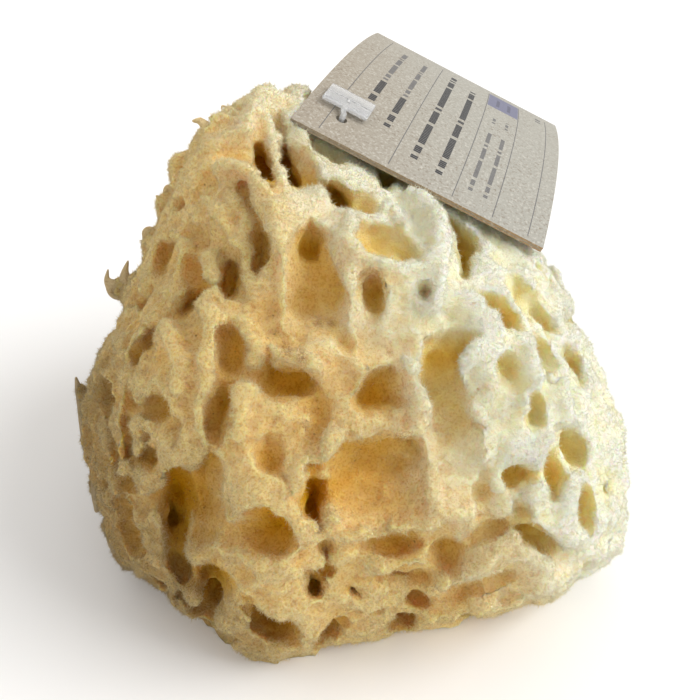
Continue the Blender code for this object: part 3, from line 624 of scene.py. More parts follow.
BASINS = [
    (5, 0.4, [(226, 138), (240, 124), (262, 116), (288, 120), (306, 134), (310, 160), (304, 182),
              (280, 178), (258, 166), (242, 158), (228, 152)]),
    (6, 0.3, [(302, 240), (328, 238), (333, 248), (337, 270), (341, 298), (339, 316), (331, 324),
              (318, 322), (303, 320), (296, 302), (294, 275), (296, 255)]),
    (4, 0.3, [(190, 256), (199, 261), (205, 275), (207, 288), (190, 293), (181, 286), (183, 268)]),
    (7, 0.2, [(150, 246), (161, 241), (177, 240), (172, 252), (169, 264), (160, 274), (149, 270)]),
    (8, 0.2, [(221, 327), (234, 323), (243, 339), (245, 360), (239, 375), (226, 378), (216, 366),
              (214, 345)]),
    (7, 0.3, [(362, 232), (370, 222), (382, 219), (396, 222), (407, 218), (415, 230), (420, 246),
              (417, 259), (406, 260), (390, 257), (374, 253), (364, 246)]),
    (13, 0.1, [(434, 197), (447, 199), (460, 208), (474, 222), (479, 240), (473, 256), (468, 271),
               (462, 268), (458, 252), (453, 236), (445, 218)]),
    (5, 0.2, [(357, 189), (370, 187), (380, 196), (378, 209), (366, 214), (356, 206)]),
    (7, 0.2, [(365, 278), (375, 277), (382, 290), (381, 309), (373, 319), (364, 313), (360, 295)]),
    (8, 0.1, [(481, 292), (495, 289), (508, 295), (513, 306), (500, 310), (486, 305)]),
    (9, 0.1, [(502, 312), (515, 310), (528, 319), (534, 334), (521, 338), (507, 328)]),
    (8, 0.1, [(534, 303), (545, 305), (554, 316), (561, 331), (551, 334), (540, 322)]),
    (8, 0.1, [(535, 333), (545, 334), (554, 346), (555, 359), (544, 361), (535, 348)]),
    (9, 0.1, [(568, 348), (578, 351), (587, 366), (588, 383), (579, 386), (570, 372), (565, 358)]),
    (9, 0.1, [(548, 449), (558, 447), (567, 460), (569, 480), (565, 498), (555, 501), (548, 485),
              (544, 465)]),
    (8, 0.1, [(508, 467), (522, 463), (538, 468), (543, 480), (532, 490), (515, 490), (506, 480)]),
    (9, 0.1, [(561, 431), (575, 429), (591, 440), (598, 458), (590, 470), (575, 467), (562, 450)]),
    (9, 0.1, [(582, 495), (594, 493), (602, 508), (603, 528), (595, 541), (585, 533), (579, 512)]),
    (4, 0.3, [(475, 484), (486, 483), (488, 493), (477, 495)]),
    (6, 0.2, [(511, 504), (524, 501), (534, 510), (528, 519), (515, 517)]),
    (5, 0.2, [(492, 363), (500, 361), (502, 369), (495, 372)]),
    (5, 0.3, [(500, 358), (513, 355), (523, 366), (521, 384), (510, 389), (501, 376)]),
    (6, 0.2, [(437, 352), (455, 345), (472, 350), (461, 372), (459, 386), (466, 400), (473, 420),
              (479, 445), (481, 470), (470, 492), (455, 490), (441, 470), (433, 445), (436, 420),
              (430, 400), (426, 385), (428, 370)]),
    (9, 0.1, [(396, 365), (404, 372), (410, 385), (411, 400), (398, 412), (380, 416), (364, 409),
              (355, 400), (365, 391), (369, 379), (382, 371)]),
    (7, 0.3, [(345, 450), (370, 446), (395, 447), (413, 458), (419, 480), (416, 502), (401, 516),
              (375, 521), (352, 516), (338, 501), (334, 475)]),
    (5, 0.2, [(336, 466), (348, 463), (354, 474), (348, 484), (337, 482)]),
    (4, 0.3, [(244, 369), (256, 366), (260, 374), (252, 382), (244, 379)]),
    (6, 0.2, [(260, 445), (272, 440), (282, 449), (283, 464), (273, 473), (261, 468), (257, 455)]),
    (8, 0.1, [(305, 464), (317, 463), (322, 474), (312, 480), (304, 476)]),
    (6, 0.2, [(133, 401), (143, 399), (151, 407), (148, 417), (138, 415)]),
    (6, 0.1, [(142, 434), (149, 436), (148, 443), (141, 442)]),
    (8, 0.1, [(125, 473), (134, 475), (138, 487), (133, 498), (123, 494), (120, 484)]),
    (8, 0.1, [(178, 478), (195, 470), (206, 457), (215, 464), (220, 480), (222, 500), (218, 525),
              (208, 545), (195, 556), (182, 548), (176, 525), (172, 500)]),
    (10, 0.1, [(170, 546), (182, 552), (191, 568), (190, 586), (180, 591), (169, 578), (164, 560)]),
    (8, 0.1, [(225, 528), (240, 518), (262, 515), (281, 521), (288, 535), (283, 551), (265, 561),
              (245, 563), (227, 552), (221, 540)]),
    (9, 0.1, [(201, 571), (215, 569), (227, 582), (231, 602), (227, 623), (214, 631), (201, 620),
              (195, 598)]),
    (9, 0.1, [(279, 623), (291, 619), (301, 629), (299, 643), (287, 647), (277, 637)]),
    (7, 0.1, [(345, 587), (354, 585), (365, 591), (367, 599), (355, 598)]),
    (7, 0.1, [(362, 545), (378, 538), (395, 535), (412, 534), (422, 541), (416, 551), (400, 557),
               (382, 559), (367, 556)]),
    (6, 0.1, [(389, 574), (405, 570), (422, 571), (432, 580), (424, 590), (406, 591), (393, 585)]),
    (6, 0.1, [(404, 596), (416, 591), (430, 597), (429, 608), (414, 610), (404, 604)]),
    (3, 0.3, [(216, 133), (236, 129), (247, 137), (248, 152), (238, 160), (226, 159), (214, 148)]),
    (3, 0.3, [(259, 114), (272, 110), (282, 116), (281, 127), (268, 130), (258, 123)]),
    (6, 0.1, [(332, 147), (341, 149), (341, 156), (333, 155)]),
    (4, 0.1, [(338, 327), (346, 331), (348, 345), (342, 351), (337, 340)]),
    (4, 0.1, [(418, 285), (429, 286), (433, 297), (422, 301)]),
    (4, 0.1, [(400, 300), (409, 300), (410, 309), (401, 309)]),
    (4, 0.1, [(439, 267), (448, 268), (448, 275), (440, 274)]),
]

# Each furrow: how far it is sunk, and its route as (right, down, width).
FURROWS = [
    (1.2, [(238, 176, 3), (243, 190, 4), (250, 205, 5), (257, 220, 4.5)]),
    (0.6, [(401, 272, 2), (402, 290, 2.4), (405, 312, 2)]),
    (0.6, [(411, 268, 2), (413, 290, 2.4), (414, 322, 2)]),
    (0.8, [(312, 398, 5), (320, 415, 6), (316, 435, 5)]),
    (0.6, [(150, 290, 4), (140, 305, 4), (128, 325, 4)]),
    (0.8, [(480, 500, 4), (500, 497, 4), (520, 494, 4)]),
    (1.0, [(310, 140, 5), (325, 150, 6), (342, 160, 5)]),
    (1.5, [(112, 380, 4), (108, 410, 5), (112, 450, 5), (120, 490, 5)]),
    (1.2, [(128, 380, 4), (130, 410, 4), (128, 440, 4), (134, 470, 4)]),
    (0.4, [(262, 112, 3), (261, 124, 3.5), (258, 136, 4)]),
    (0.4, [(278, 112, 3), (281, 122, 3.5), (285, 132, 4)]),
]

# Dark dots, where a narrow canal opens in the surface.
DOTS = [
    (265, 488, 1.2), (271, 506, 1.6), (277, 577, 1.4), (266, 586, 1.4), (328, 535, 1.2),
    (143, 307, 1.2), (510, 384, 0.9), (427, 270, 1.2), (409, 285, 1.2), (378, 404, 1.4),
    (245, 526, 2), (268, 352, 1.4), (285, 294, 1.2), (243, 308, 1.2), (352, 486, 1.4),
]
DOT_DEPTH = 5


def add_dot(shapes, right, down, width):
    place, normal, ray, scale = surface_seen(right, down)
    size = width * scale * MM
    sizes = [size, size, 2 * DOT_DEPTH * MM]
    add_ball(shapes, place, oriented(normal - ray, 0), sizes, fineness=1)


print(len(DEEP_PORES), "deep pores,", len(BASINS), "basins,", len(FURROWS), "furrows listed")

# %% [markdown]
# The sides that the sheet doesn't show have pores too. They are dealt evenly round the lump along a
# golden spiral, which never lines two of them up. Their size, stretch, depth and lean are drawn at
# random from a fixed seed, so that the sponge is the same every time. Smaller pits between them and
# pores in the flat cut underneath follow the same way.

# %% Set the pores of the other sides
PORE_OPENING = 1.15
PORES_AROUND = 210
SEEN_FACING = 0.15
LOW_BAND = 20 * MM
LOWEST_PORE = 7 * MM
UNDER_CARD = 12 * MM
PORE_SCATTER = 0.09
PORE_WIDTH = (6 * MM, 11 * MM)
PORE_STRETCH = (1.0, 1.5)
PORE_DEPTH = (6 * MM, 20 * MM)
PORE_LEAN = 40
GROWTH_SEED = 7
PITS_AROUND = 900
PIT_SEED = 11
PIT_WIDTH = (1.6 * MM, 4.2 * MM)
PIT_DEPTH = (2 * MM, 7 * MM)
PIT_SCATTER = 0.05
PORES_UNDERNEATH = 22
BASE_PORE_DEPTH = 7 * MM
BASE_PORE_FOOT = 50 * MM
BASE_PORE_WIDTH = (9 * MM, 17 * MM)
BASE_REACH = 50 * MM
BASE_START = 1.5
BASE_TURN = 0.382
BASE_TURN_SCATTER = 0.3
PITS_SEEN = 420
PITS_SEEN_WIDTH = (0.9 * MM, 2.6 * MM)
PIT_SEEN_DEPTH = 1.6
PITS_SEEN_SEED = 5


def golden_aims(count):
    """Directions spread evenly all round."""
    golden = math.pi * (3 - math.sqrt(5))
    for index in range(count):
        height = 1 - 2 * (index + 0.5) / count
        flat = math.sqrt(1 - height * height)
        yield Vector((flat * math.cos(golden * index), flat * math.sin(golden * index), height))


def is_hidden(place, normal):
    """Whether a place is on the sides that the sheet's pores leave out."""
    towards = (EYE - place).normalized()
    offset = place - CARD_CORNER
    short, long = offset.dot(CARD_ACROSS), offset.dot(CARD_ALONG)
    under_card = UNDER_CARD < short < CARD_SHORT and UNDER_CARD < long < CARD_LONG
    return normal.dot(towards) <= SEEN_FACING or place.z <= LOW_BAND or under_card


def add_pores_around(shapes, rng, count, scatter, widths, depths):
    middle = sheet_point(*OUTLINE_MIDDLE)
    for aim in golden_aims(count):
        aim += Vector(rng.uniform(-scatter, scatter, 3))
        width = rng.uniform(*widths)
        stretch = rng.uniform(*PORE_STRETCH)
        depth = rng.uniform(*depths)
        lean = math.radians(rng.uniform(-PORE_LEAN, PORE_LEAN))
        place, normal, _, _ = lump_tree.ray_cast(middle, aim.normalized())
        if place is None or place.z < LOWEST_PORE or not is_hidden(place, normal):
            continue
        sizes = [width * PORE_OPENING, width * stretch * PORE_OPENING, depth * 2]
        add_ball(shapes, place, oriented(normal, lean), sizes, fineness=2)


def add_base_pores(shapes, rng):
    """Pores that open in the flat cut underneath."""
    for index in range(PORES_UNDERNEATH):
        scatter = rng.uniform(-BASE_TURN_SCATTER, BASE_TURN_SCATTER)
        turn = index * math.tau * BASE_TURN + scatter
        reach = BASE_REACH * math.sqrt((index + BASE_START) / PORES_UNDERNEATH)
        place = Vector((math.cos(turn) * reach, math.sin(turn) * reach, -BASE_PORE_FOOT))
        width = rng.uniform(*BASE_PORE_WIDTH)
        stretch = rng.uniform(*PORE_STRETCH)
        spin = Matrix.Rotation(rng.uniform(0, math.pi), 4, "Z")
        sizes = [width, width * stretch, 2 * (BASE_PORE_FOOT + BASE_PORE_DEPTH)]
        add_ball(shapes, place, spin, sizes)


def add_pits_seen(shapes):
    """Small pits strewn over the side that is seen."""
    rng = np.random.default_rng(PITS_SEEN_SEED)
    low, high = np.min(OUTLINE, axis=0), np.max(OUTLINE, axis=0)
    for right, down in rng.uniform(low, high, (PITS_SEEN, 2)):
        width = rng.uniform(*PITS_SEEN_WIDTH)
        stretch, turn = rng.uniform(*PORE_STRETCH), rng.uniform(0, math.pi)
        place, normal, ray, scale = surface_seen(right, down)
        if scale != 1:
            sizes = [width, width * stretch, PIT_SEEN_DEPTH * width]
            add_ball(shapes, place, oriented(normal, turn), sizes, fineness=1)


print("other sides:", PORES_AROUND, "pores and", PITS_AROUND, "pits to deal out")

# %% [markdown]
# Now every well is made and laid on one pile, which becomes the cutter. The depths in the lists are
# those of the real thing. Soft light doesn't reach as deep into modelled pores as into living
# fibre, so all are made somewhat shallower by a share.

# %% Make the cutter of all the pores
DEEP_SHARE = 0.52
BASIN_SHARE = 0.8

wells = []
add_pits_seen(wells)
for deep, dish, outline in DEEP_PORES:
    add_well(wells, outline, deep * DEEP_SHARE, dish)
for deep, dish, outline in BASINS:
    add_well(wells, outline, deep * BASIN_SHARE, dish)
for sink, route in FURROWS:
    add_ridge(wells, route, -sink)
for right, down, width in DOTS:
    add_dot(wells, right, down, width)
growth = np.random.default_rng(GROWTH_SEED)
add_pores_around(wells, growth, PORES_AROUND, PORE_SCATTER, PORE_WIDTH, PORE_DEPTH)
add_base_pores(wells, growth)
pits = np.random.default_rng(PIT_SEED)
add_pores_around(wells, pits, PITS_AROUND, PIT_SCATTER, PIT_WIDTH, PIT_DEPTH)
cutter = pile_up(bmesh.new(), wells)
print("cutter of", len(cutter.faces), "faces")

# %% [markdown]
# ## Carving
#
# The lump and the cutter are many loose shapes that run through each other. A voxel remesh turns
# each into one clean closed skin, a Boolean takes one from the other, and a second remesh with some
# smoothing gives every edge the softness of felt. What the carving cut free is thrown away, as it
# would fall off the real sponge.

# %% Carve the sponge
CARVING_VOXEL = 0.9 * MM
CUTTER_VOXEL = 0.8 * MM


def link(name, data):
    piece = bpy.data.objects.new(name, data)
    bpy.context.scene.collection.objects.link(piece)
    return piece


def piece_of(bm, name):
    """The bmesh as a piece of the scene; the bmesh is used up."""
    return link(name, mesh_of(bm, name))


def melt_together(piece, voxel):
    """Adds a voxel remesh, which makes loose overlapping shapes one skin."""
    mod = piece.modifiers.new("Melt", "REMESH")
    mod.mode = "VOXEL"
    mod.voxel_size = voxel


def apply_modifiers(piece):
    """Gives the piece the mesh that its modifiers make of it."""
    graph = bpy.context.evaluated_depsgraph_get()
    graph.update()
    old = piece.data
    piece.data = bpy.data.meshes.new_from_object(piece.evaluated_get(graph))
    piece.modifiers.clear()
    bpy.data.meshes.remove(old)


def combine(piece, others, operation="DIFFERENCE", solver="MANIFOLD"):
    """Cuts others out of the piece, or joins them to it, and throws them away."""
    for other in others:
        mod = piece.modifiers.new(other.name, "BOOLEAN")
        mod.operation = operation
        mod.solver = solver
        mod.object = other
    apply_modifiers(piece)
    for other in others:
        bpy.data.objects.remove(other)


sponge = piece_of(lump, "sponge_body")
melt_together(sponge, CARVING_VOXEL)
pores = piece_of(cutter, "pores")
melt_together(pores, CUTTER_VOXEL)
combine(sponge, [pores])
print("carved:", len(sponge.data.polygons), "faces")

# %% [markdown]
# Thin strands span some of the wells. They are laid only now, because the cutter would have taken
# them away, and a remesh of a finer grain melts them into the rims.

# %% Add the strands and soften everything
SKIN_VOXEL = 0.75 * MM
SOFTENING_ROUNDS = 2
# Each strand: its lift, and its route as (right, down, width).
STRANDS = [
    (-1.2, [(266, 118, 3.2), (272, 134, 2.8), (277, 158, 2.6), (284, 186, 3.2)]),
    (-0.4, [(398, 270, 1.6), (399, 290, 1.2), (397, 318, 1.6)]),
    (-0.3, [(407, 266, 1.6), (409, 290, 1.2), (408, 322, 1.6)]),
    (-0.3, [(417, 266, 1.8), (418, 290, 1.4), (419, 324, 1.8)]),
    (-3.0, [(256, 146, 1.0), (259, 158, 0.8), (263, 170, 1.0)]),
    (-4.0, [(282, 176, 0.6), (290, 172, 0.4), (300, 184, 0.6)]),
    (-0.3, [(140, 444, 1.6), (146, 444, 1.2), (153, 442, 1.6)]),
    (-1.5, [(314, 474, 1.2), (319, 480, 1.0), (325, 488, 1.4)]),
    (-1.0, [(316, 575, 1.6), (322, 580, 1.4), (328, 584, 1.6)]),
]


def opened(piece):
    """The piece's mesh as a bmesh."""
    bm = bmesh.new()
    bm.from_mesh(piece.data)
    return bm


def put_back(piece, bm):
    bm.to_mesh(piece.data)
    bm.free()


def soften(piece, rounds):
    mod = piece.modifiers.new("Soften", "SMOOTH")
    mod.factor = 0.5
    mod.iterations = rounds


for lift, route in STRANDS:
    add_ridge(grown, route, lift)
put_back(sponge, pile_up(opened(sponge), grown))
melt_together(sponge, SKIN_VOXEL)
soften(sponge, SOFTENING_ROUNDS)
apply_modifiers(sponge)
print("softened:", len(sponge.data.polygons), "faces")

# %% [markdown]
# ## The felted skin
#
# Between the pores the skin is never plain. Shallow dimples lie side by side with soft crests
# between them, smaller pits sit in those, and the whole is as uneven as felt. Every corner of the
# mesh is moved a little along its own direction. A dimple is the inside of a ball round each point
# of a cell pattern, and each cell draws its own depth, so some stay nearly flat. The bending noise
# would start from the clock, so it gets a fixed seed.

# %% Dimple the skin
# Each layer of dimples: the size of its cells, and the deepest dimple.
DIMPLES = [(9 * MM, 1.5 * MM), (4.2 * MM, 0.8 * MM), (2.3 * MM, 0.2 * MM)]
DIMPLE_REACH = 0.62
DIMPLE_BEND = 0.35
BEND_FINENESS = 1.3
# Moves the cells' middles apart, so that neighbours draw different depths.
CHANCE_SCALE = 7.3
DIMPLE_SEED = 4
SWELL_SIZE = 7 * MM
SWELL_HEIGHT = 1.2 * MM
FELT_SIZE = 3.4 * MM
FELT_HEIGHT = 0.55 * MM
# How much smoother each finer layer of felt is, how much finer, and how many layers there are.
FELT_LAYERS = (0.8, 2.0, 3)


def dimple(place, size, depth):
    """How far a dimpled skin lies under a place: deepest in the middle of a cell."""
    grain = place / size
    bent = grain + noise.noise_vector(grain * BEND_FINENESS) * DIMPLE_BEND
    distances, middles = noise.voronoi(bent)
    hollow = max(0, 1 - (distances[0] / DIMPLE_REACH) ** 2)
    return hollow * depth * (0.5 + 0.5 * noise.cell(middles[0] * CHANCE_SCALE))


def felt_height(place):
    """How far the felted skin stands out at a place."""
    height = noise.noise(place / SWELL_SIZE) * SWELL_HEIGHT
    height += noise.fractal(place / FELT_SIZE, *FELT_LAYERS) * FELT_HEIGHT
    return height - sum(dimple(place, size, depth) for size, depth in DIMPLES)


noise.seed_set(DIMPLE_SEED)
skin = opened(sponge)
skin.normal_update()
places = get_points(skin)
normals = np.array([vert.normal for vert in skin.verts])
heights = np.array([felt_height(Vector(place)) for place in places])
heights -= heights.mean()
set_points(skin, places + normals * heights[:, None])
put_back(sponge, skin)
print("skin moved by", np.round(np.percentile(heights, [5, 95]) / MM, 2), "mm")

# %% [markdown]
# The sponge was cut from the sea floor with a knife, so its underside is flat. A box takes away all
# that is below the floor. A narrow channel is kept free for the stem of the nylon pin, with a pocket
# for its cross bar.

# %% Cut the flat underside and the pin's channel
CARD_HOLE = (8.9 * MM, 8.7 * MM)
STEM_WIDTH = 1.3 * MM
STEM_LENGTH = 15 * MM
CROSS_BAR_LENGTH = 9 * MM
CROSS_BAR_WIDTH = 1.6 * MM
PIN_CLEARANCE = 0.6 * MM
CHANNEL_TOP = 7 * MM
CHANNEL_FOOT = -16 * MM
CHANNEL_SIDES = 24
# The box of ground is simply larger than the sponge.
GROUND = (400 * MM, 400 * MM, 100 * MM)


def cylinder_bmesh(place, axes, width, length, sides):
    bm = bmesh.new()
    bmesh.ops.create_cone(
        bm, cap_ends=True, segments=sides, radius1=width / 2, radius2=width / 2, depth=length,
        matrix=Matrix.Translation(place) @ axes)
    return bm


def box_bmesh(place, axes, sizes):
    bm = bmesh.new()
    matrix = Matrix.Translation(place) @ axes @ Matrix.Diagonal((*sizes, 1))
    bmesh.ops.create_cube(bm, size=1, matrix=matrix)
    return bm


short, long = CARD_HOLE
pin_axes = card_axes(long)
gap = 2 * PIN_CLEARANCE
bar_room = CROSS_BAR_WIDTH + gap
ground = box_bmesh((0, 0, -GROUND[2] / 2), Matrix.Identity(4), GROUND)
channel = cylinder_bmesh(
    card_point(short, long, (CHANNEL_TOP + CHANNEL_FOOT) / 2), pin_axes, STEM_WIDTH + gap,
    CHANNEL_TOP - CHANNEL_FOOT, CHANNEL_SIDES)
pocket = box_bmesh(
    card_point(short, long, -STEM_LENGTH), pin_axes, (CROSS_BAR_LENGTH + gap, bar_room, bar_room))
combine(sponge, [
    piece_of(ground, "ground"), piece_of(channel, "channel"), piece_of(pocket, "pocket")])
print("flat underneath:", len(sponge.data.polygons), "faces")

# %% [markdown]
# The carving left crumbs that hang in the air. A walk along the edges finds every connected part,
# and all but the largest go. Then the mesh is thinned to what a piece may weigh.

# %% Clear the crumbs and thin the mesh
SPONGE_TRIANGLES = 196000


def largest_part(bm):
    """Removes every part that hangs loose from the largest one."""
    left = set(bm.verts)
    parts = []
    while left:
        queue = [left.pop()]
        part = list(queue)
        while queue:
            for edge in queue.pop().link_edges:
                for vert in edge.verts:
                    if vert in left:
                        left.remove(vert)
                        part.append(vert)
                        queue.append(vert)
        parts.append(part)
    parts.sort(key=len)
    crumbs = [vert for part in parts[:-1] for vert in part]
    bmesh.ops.delete(bm, geom=crumbs, context="VERTS")
    return len(parts) - 1


def triangle_count(mesh):
    return sum(len(face.vertices) - 2 for face in mesh.polygons)


clean = opened(sponge)
print("crumbs removed:", largest_part(clean))
put_back(sponge, clean)
thin = sponge.modifiers.new("Thin", "DECIMATE")
thin.ratio = min(1, SPONGE_TRIANGLES / triangle_count(sponge.data))
apply_modifiers(sponge)
for vert in sponge.data.vertices:
    vert.co.z = max(vert.co.z, 0)
print("sponge:", triangle_count(sponge.data), "triangles")

# %% [markdown]
# The thinnest tips of the flakes and a few stray whiskers would be lost in a voxel remesh of that
# size, so they are a small piece of their own with a much finer remesh.

# %% Add the tips and whiskers
TIP_VOXEL = 0.22 * MM

for tip in TIPS:
    route = curve_through(tip, closed=False)
    places = [at_outline(right, down) for right, down, width in route]
    add_chain(grown, places, [width * MM for right, down, width in route])
tips = piece_of(pile_up(bmesh.new(), grown), "sponge_tips")
melt_together(tips, TIP_VOXEL)
soften(tips, SOFTENING_ROUNDS)
apply_modifiers(tips)
print("tips:", triangle_count(tips.data), "triangles")

# %% [markdown]
# ## Measuring the surface for its colours
#
# The sponge's colours are painted from its form: painted highlight makes the crests pale, and
# painted shade makes the hollows honey brown. So three measures are stored on every corner of the
# mesh: `sunk`, how many millimetres it lies under the uncarved lump, `crest`, how much it stands
# out from its neighbours, and `dirt`, which is 1 where crumbs of dirt cling. A material can read them
# by name.

# %% Store how sunk, how raised and how dirty each corner is
CREST_ROUNDS = 24
CREST_SIZE = 1.2 * MM
# Crumbs of brown dirt: place on the sheet, and reach in quarter millimetres.
DIRT_PLACES = [
    (286, 350, 13), (301, 357, 12), (268, 349, 5), (318, 322, 10), (332, 324, 6), (400, 436, 11),
    (411, 433, 5), (320, 529, 9), (304, 424, 9), (322, 592, 7), (142, 458, 8), (172, 444, 6),
]


def neighbour_average(points, edges):
    """Every point moved to the middle of its neighbours."""
    total = np.zeros_like(points)
    for axis in range(3):
        for one, other in (edges.T, edges.T[::-1]):
            total[:, axis] += np.bincount(one, points[other, axis], len(points))
    count = np.bincount(edges.ravel(), minlength=len(points))
    return total / np.maximum(count, 1)[:, None]


def read_points(mesh):
    points = np.zeros(len(mesh.vertices) * 3)
    mesh.vertices.foreach_get("co", points)
    return points.reshape(-1, 3)


def store(mesh, name, values):
    attribute = mesh.attributes.new(name, "FLOAT", "POINT")
    attribute.data.foreach_set("value", np.asarray(values, np.float32))


def crest_of(points, normals, edges):
    """How far each corner stands out from the smoothed mesh."""
    smooth = points
    for _ in range(CREST_ROUNDS):
        smooth = neighbour_average(smooth, edges)
    return ((points - smooth) * normals).sum(axis=1) / CREST_SIZE


def sunk_under_lump(points):
    """How many millimetres each corner lies under the uncarved lump."""
    sunk = []
    for point in points:
        place, normal, _, distance = lump_tree.find_nearest(point)
        sunk.append(math.copysign(distance, (place - Vector(point)).dot(normal)) / MM)
    return np.array(sunk)


def dirt_at(points, normals):
    """1 in the middle of each dirty place, fading outwards, and 0 out of the viewer's sight."""
    right, down = seen_on_sheet(points)
    dirt = np.zeros(len(points))
    for spot_right, spot_down, reach in DIRT_PLACES:
        away = ((right - spot_right) ** 2 + (down - spot_down) ** 2) / reach ** 2
        dirt = np.maximum(dirt, np.exp(-away))
    return dirt * (normals @ np.array(TO_EYE) > 0)


points = read_points(sponge.data)
normals = np.array([vert.normal for vert in sponge.data.vertices])
edges = np.zeros(len(sponge.data.edges) * 2, np.int32)
sponge.data.edges.foreach_get("vertices", edges)
crest = crest_of(points, normals, edges.reshape(-1, 2))
sunk = sunk_under_lump(points)
store(sponge.data, "crest", crest)
store(sponge.data, "sunk", sunk)
store(sponge.data, "dirt", dirt_at(points, normals))
print("sunk up to", round(sunk.max(), 1), "mm; crest", np.round(np.percentile(crest, [5, 95]), 2))

# %% [markdown]
# ## The sponge's colours
#
# A material is a small network of nodes. The helpers below add a node, set its inputs and wire it in
# one line each, so the recipe stays readable.

# %% Make helpers for materials
def new_material(name):
    material = bpy.data.materials.new(name)
    material.use_nodes = True
    return material, material.node_tree, material.node_tree.nodes["Principled BSDF"]


def wire(tree, source, target):
    """Wires an output into an input, or sets the input to a plain value."""
    if isinstance(source, bpy.types.NodeSocket):
        tree.links.new(source, target)
    else:
        target.default_value = source


def set_inputs(node, values):
    """Sets inputs of a node by their names."""
    for name, value in values.items():
        node.inputs[name].default_value = value


def math_node(tree, operation, first, second=0.0, clamp=False):
    node = tree.nodes.new("ShaderNodeMath")
    node.operation = operation
    node.use_clamp = clamp
    wire(tree, first, node.inputs[0])
    wire(tree, second, node.inputs[1])
    return node.outputs[0]


def map_range(tree, value, low, high, to_low=0.0, to_high=1.0):
    node = tree.nodes.new("ShaderNodeMapRange")
    node.interpolation_type = "SMOOTHSTEP"
    for socket, part in zip(node.inputs, (value, low, high, to_low, to_high)):
        wire(tree, part, socket)
    return node.outputs[0]


def mix_rgba(tree, factor, first, second, blend="MIX"):
    node = tree.nodes.new("ShaderNodeMix")
    node.data_type = "RGBA"
    node.blend_type = blend
    wire(tree, factor, node.inputs[0])
    wire(tree, first, node.inputs[6])
    wire(tree, second, node.inputs[7])
    return node.outputs[2]


def noise_of(tree, place, size, detail=2.0, roughness=0.5):
    """A noise whose grains are about size metres wide."""
    node = tree.nodes.new("ShaderNodeTexNoise")
    tree.links.new(place, node.inputs["Vector"])
    set_inputs(node, {"Scale": 1 / size, "Detail": detail, "Roughness": roughness})
    return node.outputs["Fac"]


def add_bump(tree, shader, height, strength, distance):
    """Makes the shader look uneven where the height varies."""
    bump = tree.nodes.new("ShaderNodeBump")
    set_inputs(bump, {"Strength": strength, "Distance": distance})
    tree.links.new(height, bump.inputs["Height"])
    tree.links.new(bump.outputs[0], shader.inputs["Normal"])


def attribute_of(tree, name):
    node = tree.nodes.new("ShaderNodeAttribute")
    node.attribute_name = name
    return node.outputs["Fac"]


def colour_ramp(tree, value, stops):
    """A colour ramp; stops are (position, colour)."""
    node = tree.nodes.new("ShaderNodeValToRGB")
    tree.links.new(value, node.inputs[0])
    ramp = node.color_ramp
    while len(ramp.elements) < len(stops):
        ramp.elements.new(0.5)
    for element, (position, colour) in zip(ramp.elements, stops):
        element.position = position
        element.color = (*colour, 1)
    return node.outputs[0]


def object_place(tree):
    return tree.nodes.new("ShaderNodeTexCoord").outputs["Object"]


def times(tree, first, second):
    return math_node(tree, "MULTIPLY", first, second)


print("material helpers ready")

# %% [markdown]
# The sponge's recipe reads `sunk` through a colour ramp of painted shade, from cream down to honey
# brown in the deepest hollows. A paler ramp of painted light takes over towards the side that faces
# the sun, and a darker, browner painted shade covers the flank away from it. Painted highlight makes
# the crests paler than the rest, and a net of thin fibres is paler too. Then come dark grain, crumbs
# of dirt and the tiny dark canals. Light enters the fibres and comes out elsewhere, so the shader
# scatters light under its surface.

# %% Mix the sponge's colours
# What a measure is mapped to where it shall fall while another rises.
FALLING = (1.0, 0.0)
DEEPEST = 11
# Painted shade: the deeper a corner lies under the lump, the darker and browner its colour.
SUNK_SHADE_COLOURS = [
    (0.00, (0.89, 0.66, 0.29)), (0.18, (0.88, 0.60, 0.22)), (0.36, (0.86, 0.54, 0.14)),
    (0.60, (0.84, 0.47, 0.05)), (0.80, (0.80, 0.39, 0.006)), (1.00, (0.76, 0.34, 0.002)),
]
# Painted light: a paler ramp for the side that faces the sun.
PAINTED_LIGHT_COLOURS = [
    (0.00, (0.97, 0.95, 0.73)), (0.18, (0.97, 0.90, 0.57)), (0.36, (0.95, 0.81, 0.36)),
    (0.60, (0.91, 0.67, 0.17)), (0.80, (0.87, 0.57, 0.08)), (1.00, (0.82, 0.50, 0.04)),
]
# Painted highlight on the crests: gold, and paler towards the side that faces the sun.
CREST_HIGHLIGHT_GOLD = (0.92, 0.74, 0.35, 1)
PALE_PAINTED_HIGHLIGHT = (0.98, 0.98, 0.82, 1)
# The side that faces the sun, where painted light falls, and where along it that light starts and is
# full.
PAINTED_LIGHT_SIDE = Vector((0.86, 0.10, 0.50))
PAINTED_LIGHT_FROM = 19 * MM
PAINTED_LIGHT_FULL = 55 * MM
# Painted shade on the flank away from the sun: its colour, where it starts and where it is full.
PAINTED_SHADE = (0.41, 0.36, 0.31, 1)
PAINTED_SHADE_FROM = 6 * MM
PAINTED_SHADE_FULL = -48 * MM
BORDER_WAVE_SIZE = 16 * MM
BORDER_WAVE = 30 * MM
CLOUD_SIZE = 9 * MM
CLOUD_DEPTH = 5.0
CLOUD_MIDDLE = 0.44
# How strongly the crests get painted highlight.
CREST_HIGHLIGHT_RANGE = (0.0, 0.9)
CREST_HIGHLIGHT_SHARE = 0.85
FIBRE_SIZE = 1.6 * MM
FIBRE_BENDING = 0.9
FIBRE_RANGE = (0.45, 0.95)
FIBRE_SHARE = 0.40
DARK_GRAIN = (0.74, 0.54, 0.26, 1)
DARK_GRAIN_SIZE = 0.5 * MM
DARK_GRAIN_RANGE = (0.36, 0.54)
DARK_GRAIN_SHARE = 0.60
